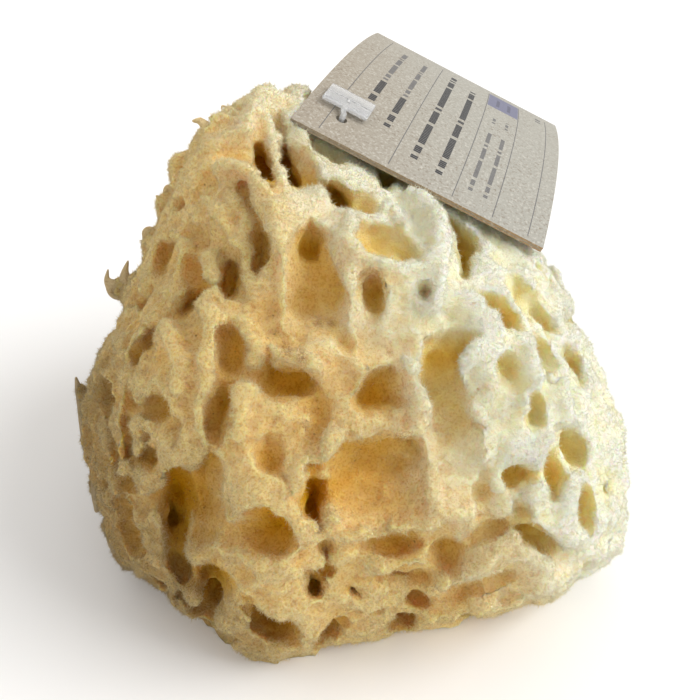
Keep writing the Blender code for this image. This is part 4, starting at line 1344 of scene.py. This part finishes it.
# Painted light also takes away some of the dark grain.
PAINTED_LIGHT_GRAIN_LOSS = 0.48
DIRT = (0.50, 0.32, 0.22, 1)
CRUMB_SIZE = 0.3 * MM
CRUMB_RANGE = (0.24, 0.62)
DIRT_SHARE = 0.8
CANAL = (0.25, 0.12, 0.03, 1)
CANAL_SPACING = 1.9 * MM
CANAL_RIM = (0.07, 0.17)
CANAL_PATCHES = (0.42, 0.58)
CANAL_CREST = (-0.6, 0.3)
CANAL_SHARE = 0.65
SCATTER_RADIUS = (1.0, 0.66, 0.26)
SCATTER_SIZE = 3 * MM
WOOL_BUMP_SIZE = 0.5 * MM
WOOL_BUMP_HEIGHT = 0.9 * MM


def toward_painted_light(tree, place):
    """How far towards the side that gets painted light a place is, with wavy borders."""
    side = tree.nodes.new("ShaderNodeVectorMath")
    side.operation = "DOT_PRODUCT"
    tree.links.new(place, side.inputs[0])
    side.inputs[1].default_value = PAINTED_LIGHT_SIDE
    waves = math_node(tree, "SUBTRACT", noise_of(tree, place, BORDER_WAVE_SIZE, detail=3), 0.5)
    return math_node(tree, "ADD", side.outputs["Value"], times(tree, waves, BORDER_WAVE))


def sunk_shade_colour(tree, cloud, painted_light_share):
    """The painted shade by depth, with painted light over it towards the sun's side; clouds make its
    borders uneven.
    """
    shift = times(tree, math_node(tree, "SUBTRACT", cloud, CLOUD_MIDDLE), CLOUD_DEPTH)
    depth = math_node(tree, "ADD", attribute_of(tree, "sunk"), shift)
    depth = math_node(tree, "DIVIDE", depth, DEEPEST, clamp=True)
    hollow_shade = colour_ramp(tree, depth, SUNK_SHADE_COLOURS)
    return mix_rgba(tree, painted_light_share, hollow_shade, colour_ramp(tree, depth, PAINTED_LIGHT_COLOURS))


def fibre_net(tree, place):
    """1 along a net of thin fibres."""
    fibres = tree.nodes.new("ShaderNodeTexNoise")
    fibres.noise_type = "RIDGED_MULTIFRACTAL"
    tree.links.new(place, fibres.inputs["Vector"])
    set_inputs(fibres, {"Scale": 1 / FIBRE_SIZE, "Detail": 3, "Distortion": FIBRE_BENDING})
    return map_range(tree, fibres.outputs["Fac"], *FIBRE_RANGE)


def canal_dots(tree, place, cloud, crest, painted_light_share):
    """1 in the tiny canals: in patches, in hollows, and not where painted light falls."""
    canals = tree.nodes.new("ShaderNodeTexVoronoi")
    set_inputs(canals, {"Scale": 1 / CANAL_SPACING})
    tree.links.new(place, canals.inputs["Vector"])
    dots = map_range(tree, canals.outputs["Distance"], *CANAL_RIM, *FALLING)
    patches = map_range(tree, math_node(tree, "SUBTRACT", cloud, painted_light_share), *CANAL_PATCHES)
    hollow = map_range(tree, crest, *CANAL_CREST, *FALLING)
    return times(tree, dots, times(tree, patches, hollow))


def dirt_crumbs(tree, place):
    """Up to 1 on the crumbs of dirt round the places where they cling."""
    crumbs = noise_of(tree, place, CRUMB_SIZE, detail=3, roughness=0.7)
    return map_range(tree, times(tree, attribute_of(tree, "dirt"), crumbs), *CRUMB_RANGE)


def dark_grain(tree, place, painted_light_share):
    """How strong the dark grain is: less where painted light falls."""
    grain = noise_of(tree, place, DARK_GRAIN_SIZE, detail=3, roughness=0.65)
    grain = map_range(tree, grain, *DARK_GRAIN_RANGE, *FALLING)
    loss = times(tree, painted_light_share, PAINTED_LIGHT_GRAIN_LOSS)
    return times(tree, grain, math_node(tree, "SUBTRACT", DARK_GRAIN_SHARE, loss))


def sponge_colour(tree, place):
    cloud = noise_of(tree, place, CLOUD_SIZE, detail=4)
    crest = attribute_of(tree, "crest")
    reach = toward_painted_light(tree, place)
    # Painted light towards the side that faces the sun.
    painted_light_share = map_range(tree, reach, PAINTED_LIGHT_FROM, PAINTED_LIGHT_FULL)
    painted_shade_share = map_range(tree, reach, PAINTED_SHADE_FULL, PAINTED_SHADE_FROM, *FALLING)
    # Painted highlight on the crests and fibres, paler towards the side that faces the sun.
    highlight_colour = mix_rgba(tree, painted_light_share, CREST_HIGHLIGHT_GOLD, PALE_PAINTED_HIGHLIGHT)
    crest_highlight = map_range(tree, crest, *CREST_HIGHLIGHT_RANGE)
    canals = canal_dots(tree, place, cloud, crest, painted_light_share)
    # Painted shade in the hollows, darker the deeper they lie.
    colour = sunk_shade_colour(tree, cloud, painted_light_share)
    colour = mix_rgba(tree, times(tree, crest_highlight, CREST_HIGHLIGHT_SHARE), colour, highlight_colour)
    colour = mix_rgba(tree, times(tree, fibre_net(tree, place), FIBRE_SHARE), colour, highlight_colour)
    colour = mix_rgba(tree, dark_grain(tree, place, painted_light_share), colour, DARK_GRAIN, "MULTIPLY")
    crumbs = times(tree, dirt_crumbs(tree, place), DIRT_SHARE)
    colour = mix_rgba(tree, crumbs, colour, DIRT, "MULTIPLY")
    # Painted shade on the flank away from the sun.
    colour = mix_rgba(tree, painted_shade_share, colour, PAINTED_SHADE, "MULTIPLY")
    return mix_rgba(tree, times(tree, canals, CANAL_SHARE), colour, CANAL)


def sponge_material(name, scatter, painted_paleness):
    """The fibre of the sponge; scatter is how much light travels under the surface, and the
    other share is how much pale painted highlight lies over its colour."""
    material, tree, shader = new_material(name)
    place = object_place(tree)
    # Pale painted highlight over the colour, as much as the share says.
    colour = mix_rgba(tree, painted_paleness, sponge_colour(tree, place), PALE_PAINTED_HIGHLIGHT)
    tree.links.new(colour, shader.inputs["Base Color"])
    set_inputs(shader, {
        "Roughness": 0.9,
        "Specular IOR Level": 0.1,
        "Subsurface Weight": scatter,
        "Subsurface Radius": SCATTER_RADIUS,
        "Subsurface Scale": SCATTER_SIZE,
    })
    felt = noise_of(tree, place, WOOL_BUMP_SIZE, detail=6, roughness=0.7)
    add_bump(tree, shader, felt, 1.0, WOOL_BUMP_HEIGHT)
    return material


sponge.data.materials.clear()
sponge.data.materials.append(sponge_material("sponge_fibre", scatter=0.8, painted_paleness=0.0))
# The wool gets pale painted highlight over its colour, in place of light that would scatter through
# the fibres.
wool_material = sponge_material("sponge_wool", scatter=0.0, painted_paleness=0.2)
sponge.data.shade_smooth()
print("sponge material:", len(sponge.data.materials[0].node_tree.nodes), "nodes")

# %% [markdown]
# ## Wool
#
# Torn fibres stand up all over a dry sponge and soften its outline. Each is a spike of four
# triangles. Geometry nodes scatter points over the surface, as densely as a stored measure says,
# put a spike on each, turn it roughly along the surface's own direction, and make them real mesh.
# Four pieces share the work, so that none gets too heavy.

# %% Grow the wool
WOOL_PIECES = 4
SPIKES_PER_PIECE = 48000
SPIKE_LENGTH = 1.1 * MM
SPIKE_WIDTH = 0.13 * MM
SPIKE_SCALE = (0.45, 1.25)
SPIKE_TILT = math.radians(78)
SPIKE_RISE = 0.4 * SPIKE_LENGTH
TILT_SEED = 100
SIZE_SEED = 200
WOOL_FLOOR = 2.2 * MM
# How dense the wool is on flat skin, how much a crest adds, and the least and the most.
WOOL_ON_SKIN = 0.45
WOOL_ON_CREST = 0.7
WOOL_LIMITS = (0.15, 1.5)
# How it thins with the depth: its share at no depth, the millimetres that take 1 from it, and the
# least share.
WOOL_AT_TOP = 1.2
WOOL_FADE = 5
WOOL_IN_DEEP = 0.10


def spike_mesh():
    bm = bmesh.new()
    bmesh.ops.create_cone(
        bm, cap_ends=True, segments=3, radius1=SPIKE_WIDTH / 2, radius2=0, depth=SPIKE_LENGTH,
        matrix=Matrix.Translation((0, 0, SPIKE_RISE)))
    bmesh.ops.remove_doubles(bm, verts=bm.verts, dist=SPIKE_WIDTH * 0.01)
    return mesh_of(bm, "spike")


def wool_density(mesh, crest, sunk):
    """How densely the wool grows at each corner: most on crests, little in deep pores."""
    points = read_points(mesh)
    density = np.clip(WOOL_ON_SKIN + crest * WOOL_ON_CREST, *WOOL_LIMITS)
    density *= np.clip(WOOL_AT_TOP - sunk / WOOL_FADE, WOOL_IN_DEEP, 1)
    density *= points[:, 2] > WOOL_FLOOR
    return density


def total_density(mesh, density):
    """The density summed over the whole surface, to know how many spikes it will give."""
    total = 0.0
    for face in mesh.polygons:
        total += face.area * density[list(face.vertices)].mean()
    return total


def wool_group(spike, density, seed):
    """Geometry nodes that put spikes on a surface and keep only the spikes."""
    group = bpy.data.node_groups.new("wool", "GeometryNodeTree")
    group.interface.new_socket("Surface", in_out="INPUT", socket_type="NodeSocketGeometry")
    group.interface.new_socket("Wool", in_out="OUTPUT", socket_type="NodeSocketGeometry")
    surface = group.nodes.new("NodeGroupInput").outputs[0]
    result = group.nodes.new("NodeGroupOutput").inputs[0]
    named = group.nodes.new("GeometryNodeInputNamedAttribute")
    named.data_type = "FLOAT"
    set_inputs(named, {"Name": "wool"})
    amount = group.nodes.new("ShaderNodeMath")
    amount.operation = "MULTIPLY"
    amount.inputs[1].default_value = density
    scatter = group.nodes.new("GeometryNodeDistributePointsOnFaces")
    set_inputs(scatter, {"Seed": seed})
    tilt = group.nodes.new("FunctionNodeRandomValue")
    tilt.data_type = "FLOAT_VECTOR"
    set_inputs(tilt, {
        "Min": (-SPIKE_TILT, -SPIKE_TILT, 0),
        "Max": (SPIKE_TILT, SPIKE_TILT, math.tau),
        "Seed": seed + TILT_SEED,
    })
    turn = group.nodes.new("FunctionNodeRotateRotation")
    turn.rotation_space = "LOCAL"
    size = group.nodes.new("FunctionNodeRandomValue")
    size.inputs[2].default_value = SPIKE_SCALE[0]
    size.inputs[3].default_value = SPIKE_SCALE[1]
    set_inputs(size, {"Seed": seed + SIZE_SEED})
    spikes = group.nodes.new("GeometryNodeInstanceOnPoints")
    source = group.nodes.new("GeometryNodeObjectInfo")
    set_inputs(source, {"Object": spike})
    real = group.nodes.new("GeometryNodeRealizeInstances")
    wires = group.links.new
    wires(surface, scatter.inputs["Mesh"])
    wires(named.outputs[0], amount.inputs[0])
    wires(amount.outputs[0], scatter.inputs["Density"])
    wires(scatter.outputs["Points"], spikes.inputs["Points"])
    wires(scatter.outputs["Rotation"], turn.inputs[0])
    wires(tilt.outputs[0], turn.inputs[1])
    wires(turn.outputs[0], spikes.inputs["Rotation"])
    wires(size.outputs[1], spikes.inputs["Scale"])
    wires(source.outputs["Geometry"], spikes.inputs["Instance"])
    wires(spikes.outputs[0], real.inputs[0])
    wires(real.outputs[0], result)
    return group


density = wool_density(sponge.data, crest, sunk)
store(sponge.data, "wool", density)
per_area = SPIKES_PER_PIECE / total_density(sponge.data, density)
spike = link("spike", spike_mesh())
wool = []
for number in range(WOOL_PIECES):
    tuft = link(f"sponge_wool_{number + 1}", sponge.data.copy())
    grow = tuft.modifiers.new("Grow", "NODES")
    grow.node_group = wool_group(spike, per_area, number)
    apply_modifiers(tuft)
    wool.append(tuft)
    print(tuft.name, triangle_count(tuft.data), "triangles")
bpy.data.objects.remove(spike)

# %% [markdown]
# ## The card tag
#
# The card is two leaves of speckled kraft board glued together. It starts flat, as a grid with one
# face cut out wherever something is printed, so that the print is faces with an ink of their own and
# its edges stay sharp at any distance. Then it gets its thickness and the fine groove between the
# leaves, and is bent to its arch. Bars of fine hatching stand for the print, as in a designer's
# sketch.

# %% Cut and print the flat card
CARD_CELL = 2.5 * MM
CUT_TOLERANCE = 0.001 * MM
RULE_WIDTH = 0.22
RULES = [6.0, 22.5, 37.7, 47.4, 56.0]
RULE_REACH = (1.5, 79)
# Each printed line: nearest and farthest edge across the card, start and end along it, the pitch of
# its hatching, and its ink. All in millimetres on the card.
LINES = [
    (10.3, 13.1, 20, 37, 1.7, "black_ink"), (10.5, 12.7, 38.5, 70, 1.2, "grey_ink"),
    (16.7, 19.3, 15, 33, 1.6, "black_ink"), (17.0, 19.0, 34.5, 69, 1.2, "grey_ink"),
    (25.3, 28.1, 8, 73, 1.5, "black_ink"), (31.7, 34.4, 7, 68, 1.5, "black_ink"),
    (40.0, 41.7, 7, 39, 1.2, "grey_ink"), (43.7, 45.4, 7, 39, 1.2, "grey_ink"),
    (40.2, 41.6, 47, 52, 1.1, "grey_ink"), (43.9, 45.3, 47, 53, 1.1, "grey_ink"),
    (52.2, 55.0, 72, 77, 1.4, "grey_ink"),
]
BLOCK = (37.9, 47.2, 62, 79)
BLOCK_LINES = [(40.4, 41.4, 65, 74), (43.8, 44.8, 65, 74)]
INKS = ["board", "board_edge", "rule_ink", "black_ink", "grey_ink", "block_ink", "block_text"]


def cut_across(bm, axis, value):
    """Cuts the card where the axis, 0 to 2, has this value."""
    normal = Vector([axis == other for other in range(3)])
    bmesh.ops.bisect_plane(
        bm, geom=bm.verts[:] + bm.edges[:] + bm.faces[:], dist=CUT_TOLERANCE,
        plane_co=normal * value, plane_no=normal)


def inside(middle, area):
    """Whether a place on the flat card lies in an area given in millimetres."""
    low_short, high_short, low_long, high_long = [edge * MM for edge in area]
    return low_short < middle.x < high_short and low_long < middle.y < high_long


def printed_areas():
    """Every printed area as (short low, short high, long low, long high) with its ink and pitch."""
    half = RULE_WIDTH / 2
    areas = [((rule - half, rule + half, *RULE_REACH), "rule_ink", 1) for rule in RULES]
    areas += [(BLOCK, "block_ink", 1)]
    areas += [(area, "block_text", 1) for area in BLOCK_LINES]
    areas += [(line[:4], line[5], line[4]) for line in LINES]
    return areas


def print_on(face, layer, area, ink, pitch):
    """Inks a face. Its UV counts bars along the area, and goes from -1 to 1 across it."""
    face.material_index = INKS.index(ink)
    centre = (area[0] + area[1]) / 2
    half_width = (area[1] - area[0]) / 2
    for loop in face.loops:
        along = (loop.vert.co.y / MM - area[2]) / pitch
        across = (loop.vert.co.x / MM - centre) / half_width
        loop[layer].uv = (along, across)


def flat_card():
    bm = bmesh.new()
    stretch = Matrix.Diagonal((CARD_SHORT, CARD_LONG, 1, 1)) @ Matrix.Translation((0.5, 0.5, 0))
    bmesh.ops.create_grid(
        bm, x_segments=round(CARD_SHORT / CARD_CELL), y_segments=round(CARD_LONG / CARD_CELL),
        size=0.5, matrix=stretch)
    for area, _, _ in printed_areas():
        for axis, edges in ((0, area[:2]), (1, area[2:])):
            for edge in edges:
                cut_across(bm, axis, edge * MM)
    layer = bm.loops.layers.uv.new("print")
    for face in bm.faces:
        middle = face.calc_center_median()
        for area, ink, pitch in printed_areas():
            if inside(middle, area):
                print_on(face, layer, area, ink, pitch)
    return bm


card_bm = flat_card()
print("flat card:", len(card_bm.faces), "faces")

# %% [markdown]
# The flat card is duplicated and the copies are joined round their rims, which gives it thickness.
# Its edge is cut three times, about where the two leaves meet, and the middle cut is pushed in. A
# punched hole takes the pin, and at last every corner moves to its place on the arch.

# %% Give the card its thickness, its hole and its arch
CARD_HOLE_WIDTH = 2.6 * MM
PUNCH_LENGTH = 8 * MM
PUNCH_SIDES = 32
GROOVE = 0.09 * MM
# A face whose normal rises less than this is part of the edge.
UPRIGHT = 0.5


def add_lower_leaf(bm):
    """Lifts the printed leaf, lays a plain copy of it underneath and joins their rims."""
    top = bm.faces[:]
    for face in top:
        if face.normal.z < 0:
            face.normal_flip()
    bottom = bmesh.ops.duplicate(bm, geom=top)["geom"]
    lower = [part for part in bottom if isinstance(part, bmesh.types.BMFace)]
    bmesh.ops.reverse_faces(bm, faces=lower)
    for face in lower:
        face.material_index = INKS.index("board")
    bmesh.ops.translate(
        bm, verts=list({vert for face in top for vert in face.verts}), vec=(0, 0, CARD_THICK))
    bmesh.ops.bridge_loops(bm, edges=[edge for edge in bm.edges if edge.is_boundary])


def thick_card(bm):
    """Two leaves with a groove between them: the middle one of three cuts is pushed in."""
    add_lower_leaf(bm)
    for height in (CARD_THICK / 2 - GROOVE, CARD_THICK / 2, CARD_THICK / 2 + GROOVE):
        cut_across(bm, 2, height)
    middle = Vector((CARD_SHORT / 2, CARD_LONG / 2, CARD_THICK / 2))
    for vert in bm.verts:
        if abs(vert.co.z - CARD_THICK / 2) < GROOVE / 2:
            away = vert.co - middle
            for axis, size in ((0, CARD_SHORT), (1, CARD_LONG)):
                if abs(abs(away[axis]) - size / 2) < GROOVE / 2:
                    vert.co[axis] -= math.copysign(GROOVE, away[axis])
    bmesh.ops.recalc_face_normals(bm, faces=bm.faces)
    for face in bm.faces:
        if abs(face.normal.z) < UPRIGHT:
            face.material_index = INKS.index("board_edge")
    return bm


card = piece_of(thick_card(card_bm), "card_tag_board")
for name in INKS:
    card.data.materials.append(bpy.data.materials.new(name))
hole = cylinder_bmesh(
    (*CARD_HOLE, 0), Matrix.Identity(4), CARD_HOLE_WIDTH, PUNCH_LENGTH, PUNCH_SIDES)
combine(card, [piece_of(hole, "hole")], solver="EXACT")
for vert in card.data.vertices:
    vert.co = card_point(vert.co.x, vert.co.y, vert.co.z)
print("card:", triangle_count(card.data), "triangles")

# %% [markdown]
# Kraft board is pulp with paler and browner flecks in it. Its material mixes two noises of fleck
# size over a warm grey, which turns browner towards the pinned end. The ink materials are the same
# board with a dark ink over it. Where words would be, the ink comes as short bars of fine hatching.

# %% Mix the board and the inks
BOARD = (0.355, 0.345, 0.305, 1)
BOARD_BROWNER = (0.32, 0.275, 0.215, 1)
BOARD_PALE = (0.60, 0.58, 0.52, 1)
BOARD_BROWN = (0.20, 0.16, 0.12, 1)
EDGE_BROWN = (0.40, 0.27, 0.16, 1)
INK_BLACK = (0.025, 0.027, 0.035, 1)
INK_GREY = (0.10, 0.10, 0.11, 1)
BLOCK_LAVENDER = (0.155, 0.16, 0.245, 1)
BLOCK_DARK = (0.08, 0.085, 0.15, 1)
CARD_BROWNER_FROM = -16 * MM
CARD_BROWNER_TO = 34 * MM
BROWNER_SHARE = 0.9
FLECK_SIZE = 0.7 * MM
FLECK_RANGE = (0.48, 0.68)
FLECK_SHARE = 0.55
BROWN_FLECK_SIZE = 0.8 * MM
BROWN_FLECK_RANGE = (0.50, 0.66)
BROWN_CLOUD_SIZE = 9 * MM
BROWN_CLOUD_RANGE = (0.3, 0.7)
BROWN_SHARES = (0.4, 0.8)
PULP_SIZE = 0.35 * MM
PULP_HEIGHT = 0.06 * MM
PULP_STRENGTH = 0.5
BAR_HEIGHT = 0.62
BAR_GAPS = 0.16
STROKE_RANGE = (0.28, 0.44)
STROKE_INK = (1.0, 0.55)


def board_colour(tree, base):
    place = object_place(tree)
    split = tree.nodes.new("ShaderNodeSeparateXYZ")
    tree.links.new(place, split.inputs[0])
    browner = map_range(tree, split.outputs["X"], CARD_BROWNER_TO, CARD_BROWNER_FROM)
    fleck = noise_of(tree, place, FLECK_SIZE, detail=4, roughness=0.7)
    fleck = map_range(tree, fleck, *FLECK_RANGE)
    brown = noise_of(tree, place, BROWN_FLECK_SIZE, detail=4, roughness=0.75)
    brown = map_range(tree, brown, *BROWN_FLECK_RANGE)
    cloud = noise_of(tree, place, BROWN_CLOUD_SIZE, detail=2)
    cloud = map_range(tree, cloud, *BROWN_CLOUD_RANGE, *BROWN_SHARES)
    colour = mix_rgba(tree, times(tree, browner, BROWNER_SHARE), base, BOARD_BROWNER)
    colour = mix_rgba(tree, times(tree, fleck, FLECK_SHARE), colour, BOARD_PALE)
    return mix_rgba(tree, times(tree, brown, cloud), colour, BOARD_BROWN)


def hatched_bars(tree):
    """1 on the hatched bars that stand for a line of print, 0 between them."""
    uv = tree.nodes.new("ShaderNodeUVMap")
    uv.uv_map = "print"
    split = tree.nodes.new("ShaderNodeSeparateXYZ")
    tree.links.new(uv.outputs[0], split.inputs[0])
    chance = tree.nodes.new("ShaderNodeTexWhiteNoise")
    chance.noise_dimensions = "1D"
    tree.links.new(math_node(tree, "FLOOR", split.outputs[0]), chance.inputs["W"])
    part = math_node(tree, "FRACT", times(tree, split.outputs[0], 2.0))
    from_middle = math_node(tree, "ABSOLUTE", math_node(tree, "SUBTRACT", part, 0.5))
    stroke = map_range(tree, from_middle, *STROKE_RANGE, *STROKE_INK)
    across = math_node(tree, "ABSOLUTE", split.outputs[1])
    height = math_node(tree, "LESS_THAN", across, BAR_HEIGHT)
    kept = math_node(tree, "GREATER_THAN", chance.outputs[0], BAR_GAPS)
    return times(tree, times(tree, stroke, height), kept)


def board_material(material, ink=None, strength=0.0, hatched=False, base=BOARD):
    """Board of the base colour, under an ink of some strength, plain or as hatched bars."""
    material.use_nodes = True
    tree = material.node_tree
    shader = tree.nodes["Principled BSDF"]
    set_inputs(shader, {"Roughness": 0.85, "Specular IOR Level": 0.25})
    colour = board_colour(tree, base)
    if ink:
        cover = times(tree, hatched_bars(tree), strength) if hatched else strength
        colour = mix_rgba(tree, cover, colour, ink)
    tree.links.new(colour, shader.inputs["Base Color"])
    pulp = noise_of(tree, object_place(tree), PULP_SIZE, detail=4, roughness=0.6)
    add_bump(tree, shader, pulp, PULP_STRENGTH, PULP_HEIGHT)


materials = {material.name: material for material in card.data.materials}
board_material(materials["board"])
board_material(materials["board_edge"], base=EDGE_BROWN)
board_material(materials["rule_ink"], INK_GREY, 0.8)
board_material(materials["black_ink"], INK_BLACK, 0.95, hatched=True)
board_material(materials["grey_ink"], INK_GREY, 0.85, hatched=True)
board_material(materials["block_ink"], BLOCK_LAVENDER, 0.85)
board_material(materials["block_text"], BLOCK_DARK, 0.8)
print("card printed with", len(LINES), "bars and", len(RULES), "rules")

# %% [markdown]
# ## The nylon pin
#
# The pin is moulded in one piece: a paddle that keeps it from slipping through the card, a stem, and
# a cross bar that holds in the sponge. The paddle is a bevelled block with a shallow step along it
# and the small rib where the stem was moulded on. The stem is a round rod along a bent line. A
# Boolean joins them, because a clear piece would show any skin left inside it.

# %% Model the pin
PADDLE_LENGTH = 11 * MM
PADDLE_WIDTH = 7.6 * MM
PADDLE_THICK = 0.9 * MM
PADDLE_LIFT = 0.9 * MM
PADDLE_PLACE = (8.3 * MM, 14.6 * MM)
PADDLE_ROUNDING = 0.3 * MM
PADDLE_LEVEL = CARD_THICK + PADDLE_LIFT + PADDLE_THICK / 2
STEP_HALF = 0.32 * MM
STEP_DEPTH = 0.22 * MM
STEP_OVERSHOOT = 1.2
RIB_SIZE = (0.8 * MM, 2.8 * MM, 0.9 * MM)
RIB_ROUNDING = 0.25 * MM
# The stem starts inside the paddle's edge, stays level till it is near the hole, and bends down.
STEM_INSIDE = 0.8 * MM
STEM_LEVEL_TILL = 1.4 * MM
STEM_BEND = 0.4 * MM
STEM_BEND_FALL = 0.3 * MM
STEM_FALL = 1.1 * MM
PIN_SIDES = 16
SHARP_ANGLE = math.radians(35)
NYLON = {
    "Base Color": (0.92, 0.93, 0.94, 1),
    "Roughness": 0.18,
    "IOR": 1.5,
    "Transmission Weight": 0.72,
}


def rounded_box(place, axes, sizes, rounding):
    """A box with bevelled edges, bevelled while it stands straight."""
    bm = box_bmesh((0, 0, 0), Matrix.Identity(4), sizes)
    bmesh.ops.bevel(
        bm, geom=bm.edges[:], offset=rounding, segments=3, profile=0.5, affect="EDGES",
        material=-1)
    bmesh.ops.transform(bm, matrix=Matrix.Translation(place) @ axes, verts=bm.verts)
    return bm


def stem_route():
    """The stem's middle line: out of the paddle, over, and down through the card."""
    short, long = CARD_HOLE
    paddle_short, paddle_long = PADDLE_PLACE
    edge = paddle_long - PADDLE_WIDTH / 2
    return [
        card_point(paddle_short, edge + STEM_INSIDE, PADDLE_LEVEL),
        card_point(paddle_short, long + STEM_LEVEL_TILL, PADDLE_LEVEL),
        card_point(short, long + STEM_BEND, PADDLE_LEVEL - STEM_BEND_FALL),
        card_point(short, long, PADDLE_LEVEL - STEM_FALL),
        card_point(short, long, -STEM_LENGTH),
    ]


def rod_bmesh(route, width, sides):
    """A round rod along a route: a disc, extruded from point to point and turned at each."""
    bm = bmesh.new()
    ahead = [(after - before).normalized() for before, after in zip(route, route[1:])]
    facing = [ahead[0]] + [(a + b).normalized() for a, b in zip(ahead, ahead[1:])] + [ahead[-1]]
    turn = facing[0].to_track_quat("Z", "Y").to_matrix().to_4x4()
    bmesh.ops.create_circle(
        bm, cap_ends=True, segments=sides, radius=width / 2,
        matrix=Matrix.Translation(route[0]) @ turn)
    face = bm.faces[:][0]
    for start, end, old, new in zip(route, route[1:], facing, facing[1:]):
        face = extruded(bm, face)
        verts = list(face.verts)
        bmesh.ops.translate(bm, verts=verts, vec=end - start)
        bend = old.rotation_difference(new).to_matrix()
        bmesh.ops.rotate(bm, verts=verts, cent=end, matrix=bend)
    bmesh.ops.recalc_face_normals(bm, faces=bm.faces)
    return bm


paddle_axes = card_axes(PADDLE_PLACE[1])
paddle_middle = card_point(*PADDLE_PLACE, PADDLE_LEVEL)
paddle_top = paddle_middle + paddle_axes.col[2].xyz * PADDLE_THICK / 2
bar_axes = card_axes(CARD_HOLE[1]) @ Matrix.Rotation(math.radians(90), 4, "Y")
paddle = rounded_box(
    paddle_middle, paddle_axes, (PADDLE_LENGTH, PADDLE_WIDTH, PADDLE_THICK), PADDLE_ROUNDING)
step = box_bmesh(
    paddle_top, paddle_axes, (PADDLE_LENGTH * STEP_OVERSHOOT, 2 * STEP_HALF, 2 * STEP_DEPTH))
rib = rounded_box(paddle_top, paddle_axes, RIB_SIZE, RIB_ROUNDING)
rod = rod_bmesh(stem_route(), STEM_WIDTH, PIN_SIDES)
bar = cylinder_bmesh(
    card_point(*CARD_HOLE, -STEM_LENGTH), bar_axes, CROSS_BAR_WIDTH, CROSS_BAR_LENGTH, PIN_SIDES)
pin = piece_of(paddle, "tag_pin")
combine(pin, [piece_of(step, "step")], solver="EXACT")
combine(
    pin, [piece_of(rib, "rib"), piece_of(rod, "rod"), piece_of(bar, "bar")], "UNION", "EXACT")
pin.data.shade_smooth()
pin.data.set_sharp_from_angle(angle=SHARP_ANGLE)
nylon, _, nylon_shader = new_material("clear_nylon")
set_inputs(nylon_shader, NYLON)
pin.data.materials.clear()
pin.data.materials.append(nylon)
print("pin:", triangle_count(pin.data), "triangles")

# %% [markdown]
# ## Camera, light and floor
#
# The camera stands where the viewer's eye is, and its lens shows 700 steps of the sheet.

# %% Set the camera
SHEET_STEPS = 700
SENSOR_WIDTH = 36
NEAREST_SEEN = 10 * MM

camera_data = bpy.data.cameras.new("camera")
camera_data.sensor_width = SENSOR_WIDTH
camera_data.lens = EYE_DISTANCE / (SHEET_STEPS * STEP) * SENSOR_WIDTH
camera_data.clip_start = NEAREST_SEEN
camera = link("camera", camera_data)
turned = Matrix((RIGHT, UP, TO_EYE)).transposed().to_4x4()
camera.matrix_world = Matrix.Translation(EYE) @ turned
bpy.context.scene.camera = camera
bpy.context.scene.view_settings.view_transform = "Standard"
print("lens:", round(camera_data.lens, 1), "mm")

# %% [markdown]
# A wide soft sun stands for a window at the right, and a pale world for the room. The sponge stands
# on a plain floor.

# %% Set the light and the floor
SUN_FROM = Vector((0.78, -0.12, 0.61))
SUN_STRENGTH = 2.3
SUN_ANGLE = math.radians(40)
SKY_STRENGTH = 0.84
SKY_COLOUR = (1, 0.98, 0.95, 1)
FLOOR_SIZE = 3
FLOOR_COLOUR = (0.9, 0.9, 0.9, 1)

sun_data = bpy.data.lights.new("window", "SUN")
sun_data.energy = SUN_STRENGTH
sun_data.angle = SUN_ANGLE
sun = link("window", sun_data)
sun.matrix_world = SUN_FROM.to_track_quat("Z", "Y").to_matrix().to_4x4()
world = bpy.data.worlds.new("studio")
world.use_nodes = True
background = world.node_tree.nodes["Background"]
set_inputs(background, {"Color": SKY_COLOUR, "Strength": SKY_STRENGTH})
bpy.context.scene.world = world
floor_bm = bmesh.new()
bmesh.ops.create_grid(floor_bm, x_segments=2, y_segments=2, size=FLOOR_SIZE / 2)
floor = link("floor", mesh_of(floor_bm, "floor"))
floor_material, _, floor_shader = new_material("pale_floor")
set_inputs(floor_shader, {"Base Color": FLOOR_COLOUR, "Roughness": 0.9})
floor.data.materials.append(floor_material)
print("sun strength", SUN_STRENGTH, "sky strength", SKY_STRENGTH)

# %% [markdown]
# ## The pieces on one body
#
# Every piece rides on the object's one body, and the imported nodes that the pieces stand for are
# hidden.

# %% Put the pieces on the body
tips.data.materials.append(wool_material)
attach(tips, "root")
for tuft in wool:
    tuft.data.materials.clear()
    tuft.data.materials.append(wool_material)
    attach(tuft, "root")
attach(sponge, "root")
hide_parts("sponge")
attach(card, "root")
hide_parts("card_tag")
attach(pin, "root")
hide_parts("tag_fastener")
